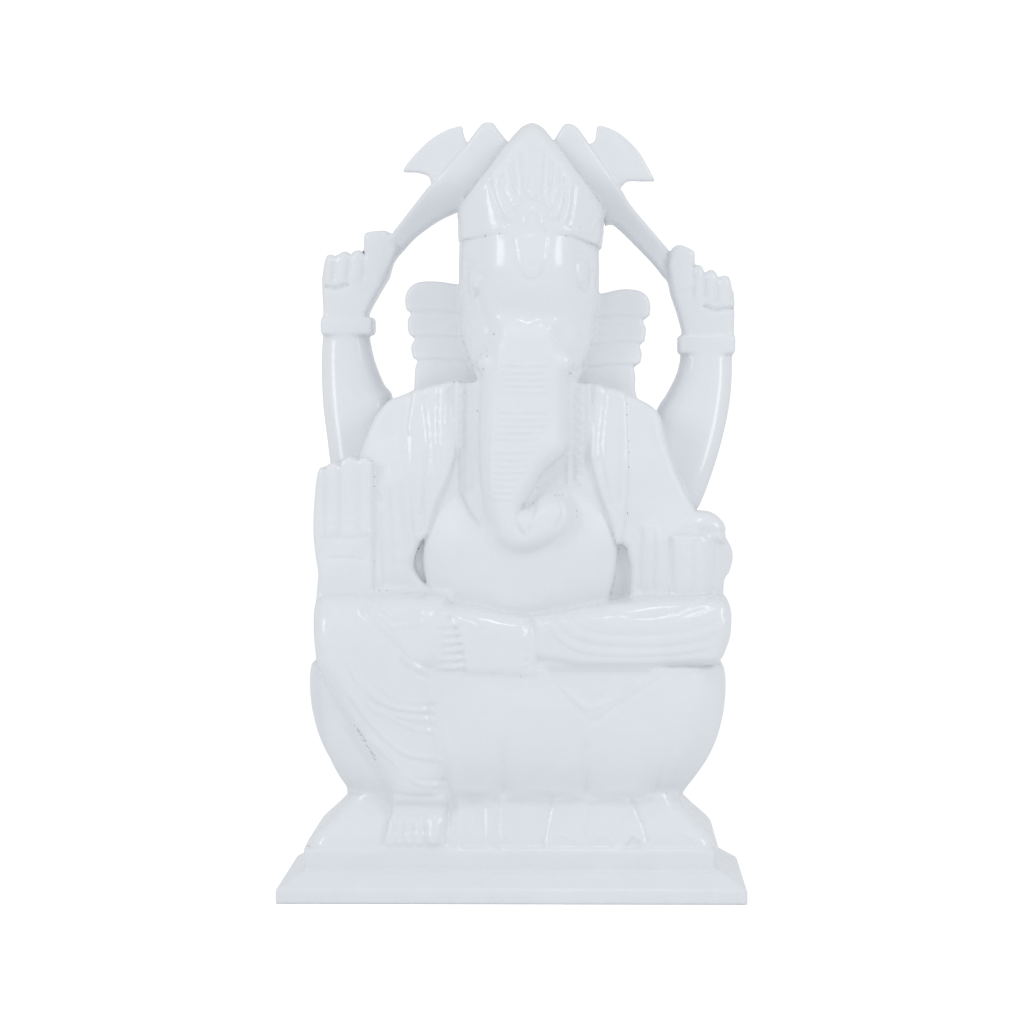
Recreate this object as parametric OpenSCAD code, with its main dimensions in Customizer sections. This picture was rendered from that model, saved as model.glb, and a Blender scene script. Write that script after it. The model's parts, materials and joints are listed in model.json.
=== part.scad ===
// Seated Ganesha idol carved from white marble, on a bevelled plinth.
// The figure faces -Y, +X is to the viewer's right, and the origin is the middle of the underside.
// The idol is one stone: each node is a carved form, and its neighbours meet it face to face.

/* [Plinth] */
// Width of the plinth at its rim
plinth_w = 137.2; // [134:0.2:142]
// Depth of the plinth at its rim
plinth_d = 88; // [84:1:96]
// Height of the upright rim
rim_h = 4.3; // [3:0.1:6]
// How far the bevel runs in from the rim
bevel_run = 8.5; // [7:0.5:8.5]
// Height of the top of the bevel
plinth_h = 9.8; // [9:0.1:10.5]
// Height of the top of the step that the lotus stands on
step_z = 14.7; // [14:0.1:15]

/* [Lotus seat] */
// Half of the width where the lower petals spread
flare_half_w = 60; // [58:0.5:60]
// Half of the width of the waist between the two rows of petals
waist_half_w = 49.6; // [48:0.2:51]
// Height of the waist
waist_z = 28.5; // [28:0.1:29]
// Half of the width of the upper petals
seat_half_w = 62; // [61:0.5:63]
// Height of the flat top of the seat
seat_z = 68; // [67.5:0.1:68.5]
// How far the upper petals stand in front of the middle
seat_front = 38; // [37:0.5:39]
// How far the upper petals stand behind the middle
seat_back = 32; // [30:0.5:34]

/* [Figure] */
// Height of the top of the lap
lap_z = 90; // [89:0.5:90]
// Width of the belly
belly_w = 56; // [54:0.5:58]
// Height of the neck, where the shoulders end
neck_z = 151; // [150:0.5:152]
// Width of the head
head_w = 41.6; // [40:0.2:43]
// Height of the brow line under the crown
brow_z = 191.5; // [191:0.5:192]
// Height of the top of the crown
crown_z = 228.5; // [226:0.5:230]
// Thickness of each axe handle from front to back
handle_t = 9; // [7:0.5:11]
// Thickness of each axe blade from front to back
blade_t = 5; // [3:0.5:7]

/* [Hidden] */
marble = "#eceff2";
$fn = 48;

step_x = [-60.8, 59.4];
step_half_d = 35.5;
front_y = -2;
leg_back_y = 14;
shin_back_y = -15;
foot_back_y = -13;
ankle_z = 30.2;
toe_count = 5;
finger_count = 4;
axis_x = 4.7;
axis_y = -5;
band_z = 195.5;
ear_lobes = 4;
ear_lobe_h = 7.3;

// ---------------------------------------------------------------- helpers

// A front-view outline in x and z, carried from y_front back to y_back
module slab(y_front, y_back, outline) {
    translate([0, y_back, 0]) rotate([90, 0, 0]) linear_extrude(y_back - y_front) polygon(outline);
}

// A side-view outline in y and z, carried across from x_left to x_right
module across(x_left, x_right, outline) {
    translate([x_left, 0, 0]) rotate([90, 0, 90]) linear_extrude(x_right - x_left) polygon(outline);
}

// A solid that has the front view given by one outline and the side view given by the other
module carved(front_view, side_view) {
    reach = 80;
    intersection() {
        slab(-reach, reach, front_view);
        across(-reach, reach, side_view);
    }
}

// A ball at one place with its own radius along each axis
module ovoid(centre, radii) {
    translate(centre) scale(radii) sphere(1);
}

// A tapering round bar from one point to another
module bar(from, to, r_from, r_to) {
    way = to - from;
    length = norm(way);
    translate(from) rotate([0, acos(way[2] / length), atan2(way[1], way[0])])
        cylinder(h = length, r1 = r_from, r2 = r_to);
}

// Mirrors an outline's right half, listed upwards, to close it on the left
function both_sides(half) = concat(half, [for (i = [len(half) - 1 : -1 : 0]) [-half[i][0], half[i][1]]]);

// Points on an arc of an ellipse
function arc(centre, rx, rz, from, to, steps = 8) =
    [for (i = [0 : steps]) let (a = from + (to - from) * i / steps) centre + [rx * cos(a), rz * sin(a)]];

// ---------------------------------------------------------------- base

// Upright rim and hollowed bevel of the plinth, for half of its width or depth
function plinth_half(half) = concat(
    [[half, 0]],
    arc([half, plinth_h], bevel_run, plinth_h - rim_h, 270, 180, 6)
);

module plinth() {
    color(marble) carved(both_sides(plinth_half(plinth_w / 2)), both_sides(plinth_half(plinth_d / 2)));
}

module base_step() {
    color(marble) translate([step_x[0], -step_half_d, plinth_h])
        cube([step_x[1] - step_x[0], 2 * step_half_d, step_z - plinth_h]);
}

// Upright V grooves in the front face of the seat, one at each x
module creases(places, y, z_low, z_high, size) {
    for (x = places)
        translate([x, y, z_low]) rotate([0, 0, 45])
            translate([-size / 2, -size / 2, 0]) cube([size, size, z_high - z_low]);
}

module lower_lotus_form() {
    carved(
        both_sides([[flare_half_w, step_z], [flare_half_w - 1.5, 19.2], [waist_half_w, waist_z]]),
        both_sides([[step_half_d, step_z], [34.5, 19.2], [27, waist_z]])
    );
}

module lower_lotus() {
    color(marble) difference() {
        lower_lotus_form();
        creases([-2, 10.5, 22, 37], -33.5, step_z, waist_z, 3);
        hanging_leg_form();
        right_foot_form();
    }
}

module upper_lotus() {
    color(marble) difference() {
        carved(
            [[-waist_half_w, waist_z], [waist_half_w, waist_z], [58.6, 41], [seat_half_w - 0.3, 51.4],
             [seat_half_w + 1.2, 61], [seat_half_w, seat_z], [2 - seat_half_w, seat_z],
             [1.3 - seat_half_w, 56], [-58.7, 43]],
            [[-27, waist_z], [27, waist_z], [seat_back - 1, 41], [seat_back, 52], [seat_back, seat_z],
             [-seat_front, seat_z], [-seat_front, 50], [2 - seat_front, 40]]
        );
        creases([-2.4, 21.5, 44], -seat_front, waist_z, 52, 2.4);
        slab(-seat_front - 1, 2 - seat_front, [[10.2, seat_z + 1], [23, 57.8], [40.2, seat_z + 1]]);
        hanging_leg_form();
        right_foot_form();
    }
}

// ---------------------------------------------------------------- legs

module hanging_leg_form() {
    carved(
        concat(
            [[-58, 70.5], [-55.7, 67.9], [-34.5, ankle_z], [-20.5, ankle_z], [-25.5, seat_z], [-25.5, 80]],
            arc([-29.5, 80], 6, lap_z - 80, 30, 90, 4),
            arc([-53, 84], 5.2, lap_z - 84, 90, 180, 4)
        ),
        concat(
            [[shin_back_y, ankle_z], [shin_back_y, seat_z], [leg_back_y, seat_z], [leg_back_y, lap_z]],
            arc([-26, 74], 13, lap_z - 74, 90, 180, 6),
            [[-38.5, 50], [-36, ankle_z]]
        )
    );
}

module hanging_leg() {
    color(marble) difference() {
        hanging_leg_form();
        for (drop = [0, 10, 21])
            translate([-58, -40, 66 - drop]) rotate([0, 38, 0]) cube([60, 3, 1.2]);
    }
}

module right_foot_form() {
    carved(
        [[-38, step_z], [-20.5, step_z], [-19.5, 25], [-20.5, ankle_z], [-34.5, ankle_z], [-37, 24]],
        [[-35.4, step_z], [foot_back_y, step_z], [foot_back_y, ankle_z], [-32.5, ankle_z],
         [-32.5, 25], [-35.4, 19]]
    );
}

module right_foot() {
    color(marble) difference() {
        right_foot_form();
        for (i = [1 : toe_count - 1])
            translate([-38 + 17.5 * i / toe_count, -36.4, step_z]) cylinder(h = 9, r = 1.3, $fn = 24);
    }
}

module folded_foot_form() {
    carved(
        concat([[-25.5, seat_z], [-2, seat_z], [-2, 84]], arc([-14, 79], 11.5, 6, 70, 150, 6), [[-25.5, 80]]),
        lap_side()
    );
}

// Side view shared by everything that lies folded across the lap
function lap_side() = concat(
    [[front_y, seat_z], [front_y, lap_z]],
    arc([-27, 76], 11, lap_z - 76, 90, 180, 6),
    [[-37, seat_z]]
);

module folded_foot() {
    color(marble) difference() {
        folded_foot_form();
        for (i = [1 : toe_count])
            translate([-27, -38.6, seat_z + 2.6 * i]) rotate([0, 90, 0]) cylinder(h = 9, r = 0.9, $fn = 24);
    }
}

module ankle_cuff_form() {
    carved([[-2, seat_z], [5.2, seat_z], [5.2, 82.5], [-2, 84]], lap_side());
}

module ankle_cuff() {
    color(marble) ankle_cuff_form();
}

module folded_leg_form() {
    carved(
        concat(
            [[5.2, seat_z], [62, seat_z], [61.5, 72], [62.8, 76]],
            arc([58, 84.5], 5.6, lap_z - 84.5, 0, 90, 4),
            [[40, 88], [20, 84.5], [5.2, 82.5]]
        ),
        concat(
            [[leg_back_y, seat_z], [leg_back_y, lap_z]],
            arc([-27, 76], 11.5, lap_z - 76, 90, 180, 6),
            [[-37, seat_z]]
        )
    );
}

module folded_leg() {
    color(marble) difference() {
        folded_leg_form();
        for (rise = [0, 5])
            translate([22, -39.6, 74 + rise]) rotate([0, -3, 0]) cube([40, 2, 1]);
    }
}

// ---------------------------------------------------------------- body

module belly_form() {
    intersection() {
        ovoid([2.2, -5, 101.5], [belly_w / 2, 26, 24]);
        translate([-50, -60, seat_z]) cube([100, 60 + front_y, 80]);
    }
}

module belly() {
    color(marble) difference() {
        belly_form();
        trunk_form();
        folded_foot_form();
        ankle_cuff_form();
        folded_leg_form();
        hanging_leg_form();
    }
}

module torso() {
    color(marble) difference() {
        carved(
            [[-44, seat_z], [46, seat_z], [50, lap_z], [52, 115], [42.6, 142.7], [36, 147], [27, neck_z],
             [-18, neck_z], [-30, 150], [-37.3, 146], [-45, 129], [-45, lap_z]],
            [[front_y, seat_z], [30, seat_z], [32, lap_z], [31, 118], [26, 138], [20, neck_z], [front_y, neck_z]]
        );
        hanging_leg_form();
        folded_leg_form();
        front_right_arm_form();
        front_left_arm_form();
        rear_right_arm_form();
        rear_left_arm_form();
    }
}

module chest_panel() {
    color(marble) difference() {
        slab(-13, front_y, [[-16.6, 108], [22.7, 108], [22.7, neck_z], [-16.6, neck_z]]);
        belly_form();
        trunk_form();
    }
}

// The end of the shawl that hangs from one shoulder, with upright folds
module shawl_fall(outline, folds) {
    color(marble) difference() {
        slab(-17, front_y, outline);
        for (x = folds)
            translate([x, -17.6, 100]) cylinder(h = 50, r = 1.2, $fn = 24);
        belly_form();
    }
}

module right_shawl_fall() {
    shawl_fall([[-28, 96], [-22, 112], [-16.6, 122], [-16.6, neck_z], [-27, 150.3], [-30, 148]], [-20, -24]);
}

module left_shawl_fall() {
    shawl_fall([[30, 96], [30, 110], [33, 148], [27, neck_z], [22.7, neck_z], [22.7, 122], [28, 112]], [25.8, 29.2]);
}

// ---------------------------------------------------------------- front arms

module front_right_arm_form() {
    carved(
        [[-57, lap_z], [-28, lap_z], [-28, 96], [-30, 148], [-37, 146], [-45, 129], [-52, 127], [-57, 116]],
        [[-24, lap_z], [8, lap_z], [8, 148], [-8, 148], [-16, 138], [-22, 112]]
    );
}

module front_right_arm() {
    color(marble) difference() {
        front_right_arm_form();
        blessing_hand_form();
        belly_form();
        slab(-40, -14, [[-31, 98], [-20, 98], [-20, 140], [-31, 140]]);
    }
}

module blessing_hand_form() {
    carved(
        concat(
            [[-57, lap_z], [-40.4, lap_z], [-40.4, 126]],
            arc([-44, 126], 3.6, 3.4, 0, 90, 4),
            arc([-53, 122], 4, 7.4, 90, 180, 4),
            [[-58.2, 112], [-58.2, 98]]
        ),
        [[-32, lap_z], [-22, lap_z], [-22, 129.4], [-30, 129.4], [-34, 122], [-35, 104]]
    );
}

module blessing_hand() {
    color(marble) difference() {
        blessing_hand_form();
        for (i = [1 : finger_count - 1])
            translate([-58.2 + 17.6 * i / finger_count, -36, 106]) cylinder(h = 30, r = 1.6, $fn = 24);
    }
}

module front_left_arm_form() {
    carved(
        [[30, lap_z], [46.5, lap_z], [46.5, 106], [53.5, 112.5], [42.6, 142.7], [36, 147], [33, 148], [30, 110]],
        [[-26, lap_z], [8, lap_z], [8, 148], [-8, 148], [-15, 138], [-22, 108]]
    );
}

module front_left_arm() {
    color(marble) difference() {
        front_left_arm_form();
        belly_form();
    }
}

module bowl_hand() {
    color(marble) difference() {
        carved(
            [[46.5, lap_z], [62, lap_z], [64.6, 98], [63.5, 104], [60, 107], [46.5, 107]],
            [[-30, lap_z], [-4, lap_z], [-4, 107], [-32, 107], [-35, 98]]
        );
        front_left_arm_form();
        for (i = [1 : finger_count - 1])
            translate([46.5 + 4.4 * i, -36.4, lap_z]) cylinder(h = 14, r = 1.5, $fn = 24);
    }
}

module sweet() {
    color(marble) difference() {
        intersection() {
            ovoid([54.5, -20, 106.5], [8, 12, 7.5]);
            translate([40, -40, 107]) cube([30, 40, 10]);
        }
        front_left_arm_form();
    }
}

// ---------------------------------------------------------------- rear arms and axes

module rear_right_arm_form() {
    carved(
        [[-55, 118], [-44, 118], [-44, 129], [-37.5, 146], [-41.5, 155.3], [-44, 166], [-57.8, 166],
         [-58.3, 157], [-57.1, 139.3]],
        [[8, 118], [24, 118], [25, 140], [21, 166], [2, 166], [3, 148], [8, 130]]
    );
}

module rear_right_arm() {
    color(marble) difference() {
        rear_right_arm_form();
        front_right_arm_form();
    }
}

module rear_left_arm_form() {
    carved(
        [[50, 104], [54, 106], [59, 124.2], [64.1, 143.3], [65.3, 160.3], [49.9, 160.3], [48.4, 153], [42.7, 142.7],
         [52.9, 113]],
        [[8, 104], [24, 104], [25, 140], [21, 160.3], [2, 160.3], [3, 143], [8, 125]]
    );
}

module rear_left_arm() {
    color(marble) difference() {
        rear_left_arm_form();
        front_left_arm_form();
    }
}

// A ridge round the wrist, drawn as the stone it encloses
module bracelet(x, z) {
    color(marble) translate([x, 11.5, z]) scale([8.1, 10.2, 1]) cylinder(h = 5.6, r = 1);
}

module right_bracelet() {
    bracelet(-50.1, 166);
}

module left_bracelet() {
    bracelet(57.5, 160.3);
}

// A closed hand on its axe handle: side is 1 for the viewer's right and -1 for the left
module fist_form(place, side) {
    knuckle_r = 2.2;
    pitch = 1.85 * knuckle_r;
    tops = [for (i = [0 : finger_count - 1]) [-2.2 + i * pitch, 17.2 - 1.6 * i]];
    front_view = concat(
        [[-8.2, 0], [8.2, 0], [9.2, 8]],
        [for (i = [finger_count - 1 : -1 : 0]) each arc([tops[i][0], tops[i][1] - knuckle_r], knuckle_r,
            knuckle_r, i == finger_count - 1 ? 0 : 40, 140, 3)],
        [[-4.6, 18.5], [-4.4, 24.4], [-8.6, 24.8], [-9, 17]]
    );
    translate(place) intersection() {
        slab(-9, 9, [for (p = front_view) [side * p[0], p[1]]]);
        across(-12, 12, concat([[8, 0], [9, 12], [6, 25], [-5, 25]], arc([-4, 10], 5, 8, 120, 200, 5), [[-7, 0]]));
    }
}

module fist(place, side) {
    color(marble) difference() {
        fist_form(place, side);
        for (i = [1 : finger_count - 1])
            translate(place + [side * (-4.2 + 4.07 * i), -9.4, 4]) cylinder(h = 16, r = 0.9, $fn = 24);
    }
}

module rear_right_fist() {
    fist([-49, 11.5, 171.6], -1);
}

module rear_left_fist() {
    fist([56.8, 11.5, 165.9], 1);
}

module right_axe_handle_form() {
    slab(4, 4 + handle_t, [[-45, 188], [-40.2, 184], [-3.8, 224.3], [-5, 227.5], [-8.5, 228], [-11.5, 224.8]]);
}

module right_axe_handle() {
    color(marble) difference() {
        right_axe_handle_form();
        fist_form([-49, 11.5, 171.6], -1);
        crown_form();
    }
}

module left_axe_handle_form() {
    slab(4, 4 + handle_t, [[53, 183.2], [48.8, 179], [12.8, 223.5], [13.5, 227.5], [17.5, 228], [20.8, 224]]);
}

module left_axe_handle() {
    color(marble) difference() {
        left_axe_handle_form();
        fist_form([56.8, 11.5, 165.9], 1);
        crown_form();
    }
}

module right_axe_blade() {
    color(marble) difference() {
        slab(6, 6 + blade_t, concat(
            [[-32.8, 214], [-24.5, 211], [-22.5, 209], [-12, 221], [-14, 223.2], [-15.3, 227.6]],
            arc([-15.5, 210], 17.5, 17.6, 95, 160, 6)
        ));
        right_axe_handle_form();
    }
}

module left_axe_blade() {
    color(marble) difference() {
        slab(6, 6 + blade_t, concat(
            [[41.3, 211], [32.8, 210.4], [30.5, 208], [20.5, 220], [23.6, 222.4], [24.6, 227.6]],
            arc([25, 209.5], 16.3, 18, 90, 10, 6)
        ));
        left_axe_handle_form();
    }
}

// ---------------------------------------------------------------- head

module head_form() {
    intersection() {
        translate([axis_x, axis_y, neck_z]) scale([head_w / 2, 24, 1]) cylinder(h = brow_z - neck_z, r = 1);
        across(-30, 40, [[-20, neck_z], [20, neck_z], [20, brow_z], [-27, brow_z], [-29, 180], [-27, 165]]);
    }
}

module head() {
    color(marble) difference() {
        head_form();
        trunk_form();
        tusk_form(-5.5);
        tusk_form(13.5);
    }
}

// A fan-shaped ear of four lobes, growing wider towards its top
module ear(inner_x, outer_x) {
    side = sign(outer_x - inner_x);
    rim = [for (i = [0 : ear_lobes - 1]) each arc(
        [outer_x - side * (3 + 1.2 * (ear_lobes - 1 - i)), neck_z + ear_lobe_h * (i + 0.5)],
        side * 3, ear_lobe_h / 2, -80, 80, 4)];
    color(marble) difference() {
        slab(-4, 8, concat([[inner_x, neck_z]], rim, [[inner_x, neck_z + ear_lobe_h * ear_lobes]]));
        head_form();
    }
}

module right_ear() {
    ear(-8, -32.2);
}

module left_ear() {
    ear(17, 40.5);
}

module tusk_form(x) {
    bar([x, -20, 161], [x, -35, 155.5], 3.4, 2.2);
}

module right_tusk() {
    color(marble) difference() {
        tusk_form(-5.5);
        trunk_form();
    }
}

module left_tusk() {
    color(marble) difference() {
        tusk_form(13.5);
        trunk_form();
    }
}

module trunk_form() {
    intersection() {
        slab(-38, -12, concat(
            [[-3, 166], [-8.6, 150], [-9.7, 134], [-8.5, 119]],
            arc([4, 115], 11.8, 12.8, 200, 325, 8),
            [[18, 112.5], [16.3, 115.7], [10.5, 121], [14, 134], [17, 149.6], [11, 166]]
        ));
        across(-30, 40, [[-12, 98], [-12, 168], [-27, 168], [-33, 158], [-35, 148], [-34, 130], [-36, 118], [-38, 98]]);
    }
}

module trunk() {
    color(marble) difference() {
        trunk_form();
        for (z = [128 : 4 : 156])
            translate([-12, -39.4, z]) rotate([45, 0, 0]) cube([26, 4, 4]);
    }
}

module crown_band() {
    color(marble) translate([axis_x + 0.3, axis_y, brow_z]) scale([head_w / 2 + 0.9, 24, 1])
        cylinder(h = band_z - brow_z, r = 1);
}

// Pointed cap that rises from the band to the apex
module crown_form() {
    rise = crown_z - band_z;
    intersection() {
        translate([axis_x + 0.3, axis_y, band_z]) scale([1, 24 / 22.5, 1]) rotate_extrude()
            polygon([[0, 0], [21.5, 0], [22.5, 6], [19, 14], [12, 23], [5, rise - 3], [1.5, rise], [0, rise]]);
        translate([-30, -40, band_z]) cube([70, 80, rise]);
    }
}

module crown_medallion_form() {
    translate([axis_x + 0.8, -30.4, band_z]) rotate([-90, 0, 0]) cylinder(h = 8, r = 6.4);
}

module crown() {
    color(marble) difference() {
        crown_form();
        crown_medallion_form();
    }
}

module crown_medallion() {
    color(marble) intersection() {
        crown_medallion_form();
        translate([-30, -40, band_z]) cube([70, 80, 20]);
    }
}

plinth();
base_step();
lower_lotus();
upper_lotus();
hanging_leg();
right_foot();
folded_foot();
ankle_cuff();
folded_leg();
belly();
torso();
chest_panel();
right_shawl_fall();
left_shawl_fall();
front_right_arm();
blessing_hand();
front_left_arm();
bowl_hand();
sweet();
rear_right_arm();
right_bracelet();
rear_right_fist();
right_axe_handle();
right_axe_blade();
rear_left_arm();
left_bracelet();
rear_left_fist();
left_axe_handle();
left_axe_blade();
head();
right_ear();
left_ear();
right_tusk();
left_tusk();
trunk();
crown_band();
crown();
crown_medallion();
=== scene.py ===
"""The looks of a seated Ganesha carved from white marble.

Every carved form is sculpted as a signed distance in millimetres, in the frame's axes, on one shared grid.
The forms are blended into one block, the block's surface is meshed once, and each piece takes the part of
the mesh that belongs to its form, so neighbouring pieces share their edges exactly.
"""
import json
import math

import bpy
import numpy as np
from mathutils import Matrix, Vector


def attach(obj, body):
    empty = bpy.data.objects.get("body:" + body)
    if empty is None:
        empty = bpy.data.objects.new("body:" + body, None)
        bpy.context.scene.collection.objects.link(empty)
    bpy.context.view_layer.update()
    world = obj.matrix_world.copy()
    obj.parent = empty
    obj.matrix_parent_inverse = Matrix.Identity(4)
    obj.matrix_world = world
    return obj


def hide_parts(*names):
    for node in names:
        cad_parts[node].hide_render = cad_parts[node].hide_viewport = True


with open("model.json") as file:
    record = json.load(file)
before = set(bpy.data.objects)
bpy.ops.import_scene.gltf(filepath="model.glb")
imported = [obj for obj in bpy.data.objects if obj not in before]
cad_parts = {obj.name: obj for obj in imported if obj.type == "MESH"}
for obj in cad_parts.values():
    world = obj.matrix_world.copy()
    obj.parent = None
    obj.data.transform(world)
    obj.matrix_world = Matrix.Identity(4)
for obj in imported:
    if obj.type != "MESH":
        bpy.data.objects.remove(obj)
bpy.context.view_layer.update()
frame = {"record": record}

MM = 0.001
# The distance that stands for open air, and how far round a form its grid window reaches.
FAR = 9.0
MARGIN = 3.0
HOLLOW_EDGE = 0.6
# Each round moves an outer vertex this far at most, and keeps an inner one this far under the surface.
LONGEST_MOVE = 0.12
INNER_COVER = 0.5
# Keeps a move finite where the distance hardly changes.
LEAST_SLOPE = 0.25
# A face is folded over where the cosine between its normal and a corner's smooth normal is below this.
LEAST_FACING = 0.35
# Joint faces are gathered on a coarse grid below the first depth, and on a coarser one below the second.
HIDDEN = 0.8
DEEP = 2.5
SHALLOW_PITCH = 1.7
DEEP_PITCH = 3.5
STEP = ((0.55, 0.7, 0.55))


# ---------------------------------------------------------------- distances

def smooth_min(a, b, k):
    if k <= 0:
        return np.minimum(a, b)
    h = np.maximum(k - np.abs(a - b), 0) / k
    return np.minimum(a, b) - h * h * (k / 4)


def smooth_max(a, b, k):
    return -smooth_min(-a, -b, k)


def smooth_step(edge0, edge1, value):
    t = np.clip((value - edge0) / (edge1 - edge0), 0, 1)
    return t * t * (3 - 2 * t)


class Solid:
    """A shape given by its distance function of x, y and z, and by the box that holds it."""

    def __init__(self, low, high, distance):
        self.low = np.array(low, float)
        self.high = np.array(high, float)
        self.distance = distance


def ovoid(centre, radii):
    """An ellipsoid, with a distance that is close to true near its surface."""
    (cx, cy, cz), (rx, ry, rz) = centre, radii

    def distance(x, y, z):
        u, v, w = (x - cx) / rx, (y - cy) / ry, (z - cz) / rz
        near = np.sqrt(u * u + v * v + w * w)
        slope = np.sqrt((u / rx) ** 2 + (v / ry) ** 2 + (w / rz) ** 2)
        return near * (near - 1) / np.maximum(slope, 1e-4)

    return Solid(np.subtract(centre, radii), np.add(centre, radii), distance)


def rod(start, end, r_start, r_end):
    """A tapering rod with round ends."""
    start, end = np.array(start, float), np.array(end, float)
    way = end - start
    length2 = float(way @ way)
    reach = max(r_start, r_end)

    def distance(x, y, z):
        dx, dy, dz = x - start[0], y - start[1], z - start[2]
        t = np.clip((dx * way[0] + dy * way[1] + dz * way[2]) / length2, 0, 1)
        gap = np.sqrt((dx - t * way[0]) ** 2 + (dy - t * way[1]) ** 2 + (dz - t * way[2]) ** 2)
        return gap - (r_start + (r_end - r_start) * t)

    return Solid(np.minimum(start, end) - reach, np.maximum(start, end) + reach, distance)


def block(low, high, rounding):
    """A box with rounded edges."""
    low, high = np.array(low, float), np.array(high, float)
    centre, half = (low + high) / 2, (high - low) / 2 - rounding

    def distance(x, y, z):
        q = [np.abs(p - c) - h for p, c, h in zip((x, y, z), centre, half)]
        outside = np.sqrt(sum(np.maximum(a, 0) ** 2 for a in q))
        return outside + np.minimum(np.maximum(np.maximum(q[0], q[1]), q[2]), 0) - rounding

    return Solid(low, high, distance)


def curve(points, steps=5):
    """Points on a smooth curve that passes through the given points."""
    p = np.array(points, float)
    if len(p) < 3:
        return [tuple(q) for q in p]
    p = np.vstack([2 * p[0] - p[1], p, 2 * p[-1] - p[-2]])
    t = np.arange(steps)[:, None] / steps
    found = []
    for a, b, c, d in zip(p, p[1:], p[2:], p[3:]):
        found.extend(0.5 * (2 * b + (c - a) * t + (2 * a - 5 * b + 4 * c - d) * t ** 2
                            + (3 * b - a - 3 * c + d) * t ** 3))
    found.append(p[-2])
    return [tuple(q) for q in found]


def corners(*numbers):
    """Points from a flat run of their coordinates, two for each point."""
    return list(zip(numbers[::2], numbers[1::2]))


def smooth(*numbers):
    """A smooth curve through the points of a flat run."""
    return curve(corners(*numbers))


def lowered(lines, drop):
    """The same lines, lower down."""
    return [[value - drop * (i % 2) for i, value in enumerate(run)] for run in lines]


def between(lines):
    """The lines that run half way between each line and the next."""
    return [[(a + b) / 2 for a, b in zip(one, two)] for one, two in zip(lines, lines[1:])]


def segments_of(points, closed):
    following = points[1:] + points[:1] if closed else points[1:]
    return list(zip(points, following))


def line_distance(u, v, points, closed=False):
    """Distance in a plane from a line of points, and how far along the line the nearest one lies."""
    parts = segments_of(points, closed)
    best = np.full(np.broadcast(u, v).shape, 1e6, np.float32)
    along = np.zeros_like(best)
    for i, ((au, av), (bu, bv)) in enumerate(parts):
        wu, wv = bu - au, bv - av
        length2 = max(wu * wu + wv * wv, 1e-9)
        t = np.clip(((u - au) * wu + (v - av) * wv) / length2, 0, 1)
        gap = (u - au - t * wu) ** 2 + (v - av - t * wv) ** 2
        nearer = gap < best
        best = np.where(nearer, gap, best)
        along = np.where(nearer, (i + t) / len(parts), along)
    return np.sqrt(best), along


def outline_distance(u, v, points):
    """Distance in a plane from a closed outline, negative inside it."""
    gap, _ = line_distance(u, v, points, closed=True)
    inside = np.zeros(gap.shape, bool)
    for (au, av), (bu, bv) in segments_of(points, True):
        if av == bv:
            continue
        crossing = au + (v - av) * (bu - au) / (bv - av)
        inside ^= ((av > v) != (bv > v)) & (u < crossing)
    return np.where(inside, -gap, gap)


def rounded_sweep(across, along, rounding):
    """Joins a distance across a sweep with one along it, with a rounded edge between them."""
    a, b = across + rounding, along + rounding
    outside = np.sqrt(np.maximum(a, 0) ** 2 + np.maximum(b, 0) ** 2)
    return outside + np.minimum(np.maximum(a, b), 0) - rounding


def slab(front, back, points, rounding=1.0):
    """A front-view outline in x and z, from front to back. Either may be a function of x and z."""
    low_high = np.array(points, float)
    ends = []
    for end in (front, back):
        sample = end(low_high[:, 0], low_high[:, 1]) if callable(end) else end
        ends.append((float(np.min(sample)), float(np.max(sample))))
    (x0, z0), (x1, z1) = low_high.min(0), low_high.max(0)

    def distance(x, y, z):
        flat = outline_distance(x, z, points)
        y0 = front(x, z) if callable(front) else front
        y1 = back(x, z) if callable(back) else back
        return rounded_sweep(flat, np.maximum(y0 - y, y - y1), rounding)

    return Solid((x0, ends[0][0] - 2, z0), (x1, ends[1][1] + 2, z1), distance)


def across(left, right, points, rounding=1.0):
    """A side-view outline in y and z, from left to right."""
    (y0, z0), (y1, z1) = np.min(points, 0), np.max(points, 0)

    def distance(x, y, z):
        flat = outline_distance(y, z, points)
        return rounded_sweep(flat, np.maximum(left - x, x - right), rounding)

    return Solid((left, y0, z0), (right, y1, z1), distance)


def both(first, second, k=1.0):
    """What two solids share, with a softened edge."""
    def distance(x, y, z):
        return smooth_max(first.distance(x, y, z), second.distance(x, y, z), k)

    return Solid(np.maximum(first.low, second.low), np.minimum(first.high, second.high), distance)


def profile(heights, sizes):
    """A smooth size that changes with height, through the given pairs."""
    points = np.array(curve(list(zip(heights, sizes)), 8))

    def size(z):
        return np.interp(z, points[:, 0], points[:, 1]).astype(np.float32)

    return size


def tower(z0, z1, half_width, front, back, corner, centre_x=0.0, rounding=1.0, slope=1.0):
    """A form of rounded-rectangle plan whose half width, front and back change with height."""
    zs = np.linspace(z0, z1, 30)
    w, f, b = half_width(zs).max(), front(zs).max(), back(zs).max()

    def distance(x, y, z):
        half_y = (front(z) + back(z)) / 2
        mid_y = (back(z) - front(z)) / 2
        qx = np.abs(x - centre_x) - half_width(z) + corner
        qy = np.abs(y - mid_y) - half_y + corner
        outside = np.sqrt(np.maximum(qx, 0) ** 2 + np.maximum(qy, 0) ** 2)
        plan = outside + np.minimum(np.maximum(qx, qy), 0) - corner
        return rounded_sweep(plan * slope, np.maximum(z0 - z, z - z1), rounding)

    return Solid((centre_x - w, -f, z0), (centre_x + w, b, z1), distance)


# ---------------------------------------------------------------- engraving

def front_of(limit):
    """Weight of 1 in front of a depth, falling to 0 behind it."""
    return lambda y: smooth_step(limit + 1.0, limit - 1.0, y)


def behind(limit):
    """Weight of 1 behind a depth, falling to 0 in front of it."""
    return lambda y: smooth_step(limit - 1.0, limit + 1.0, y)


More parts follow.
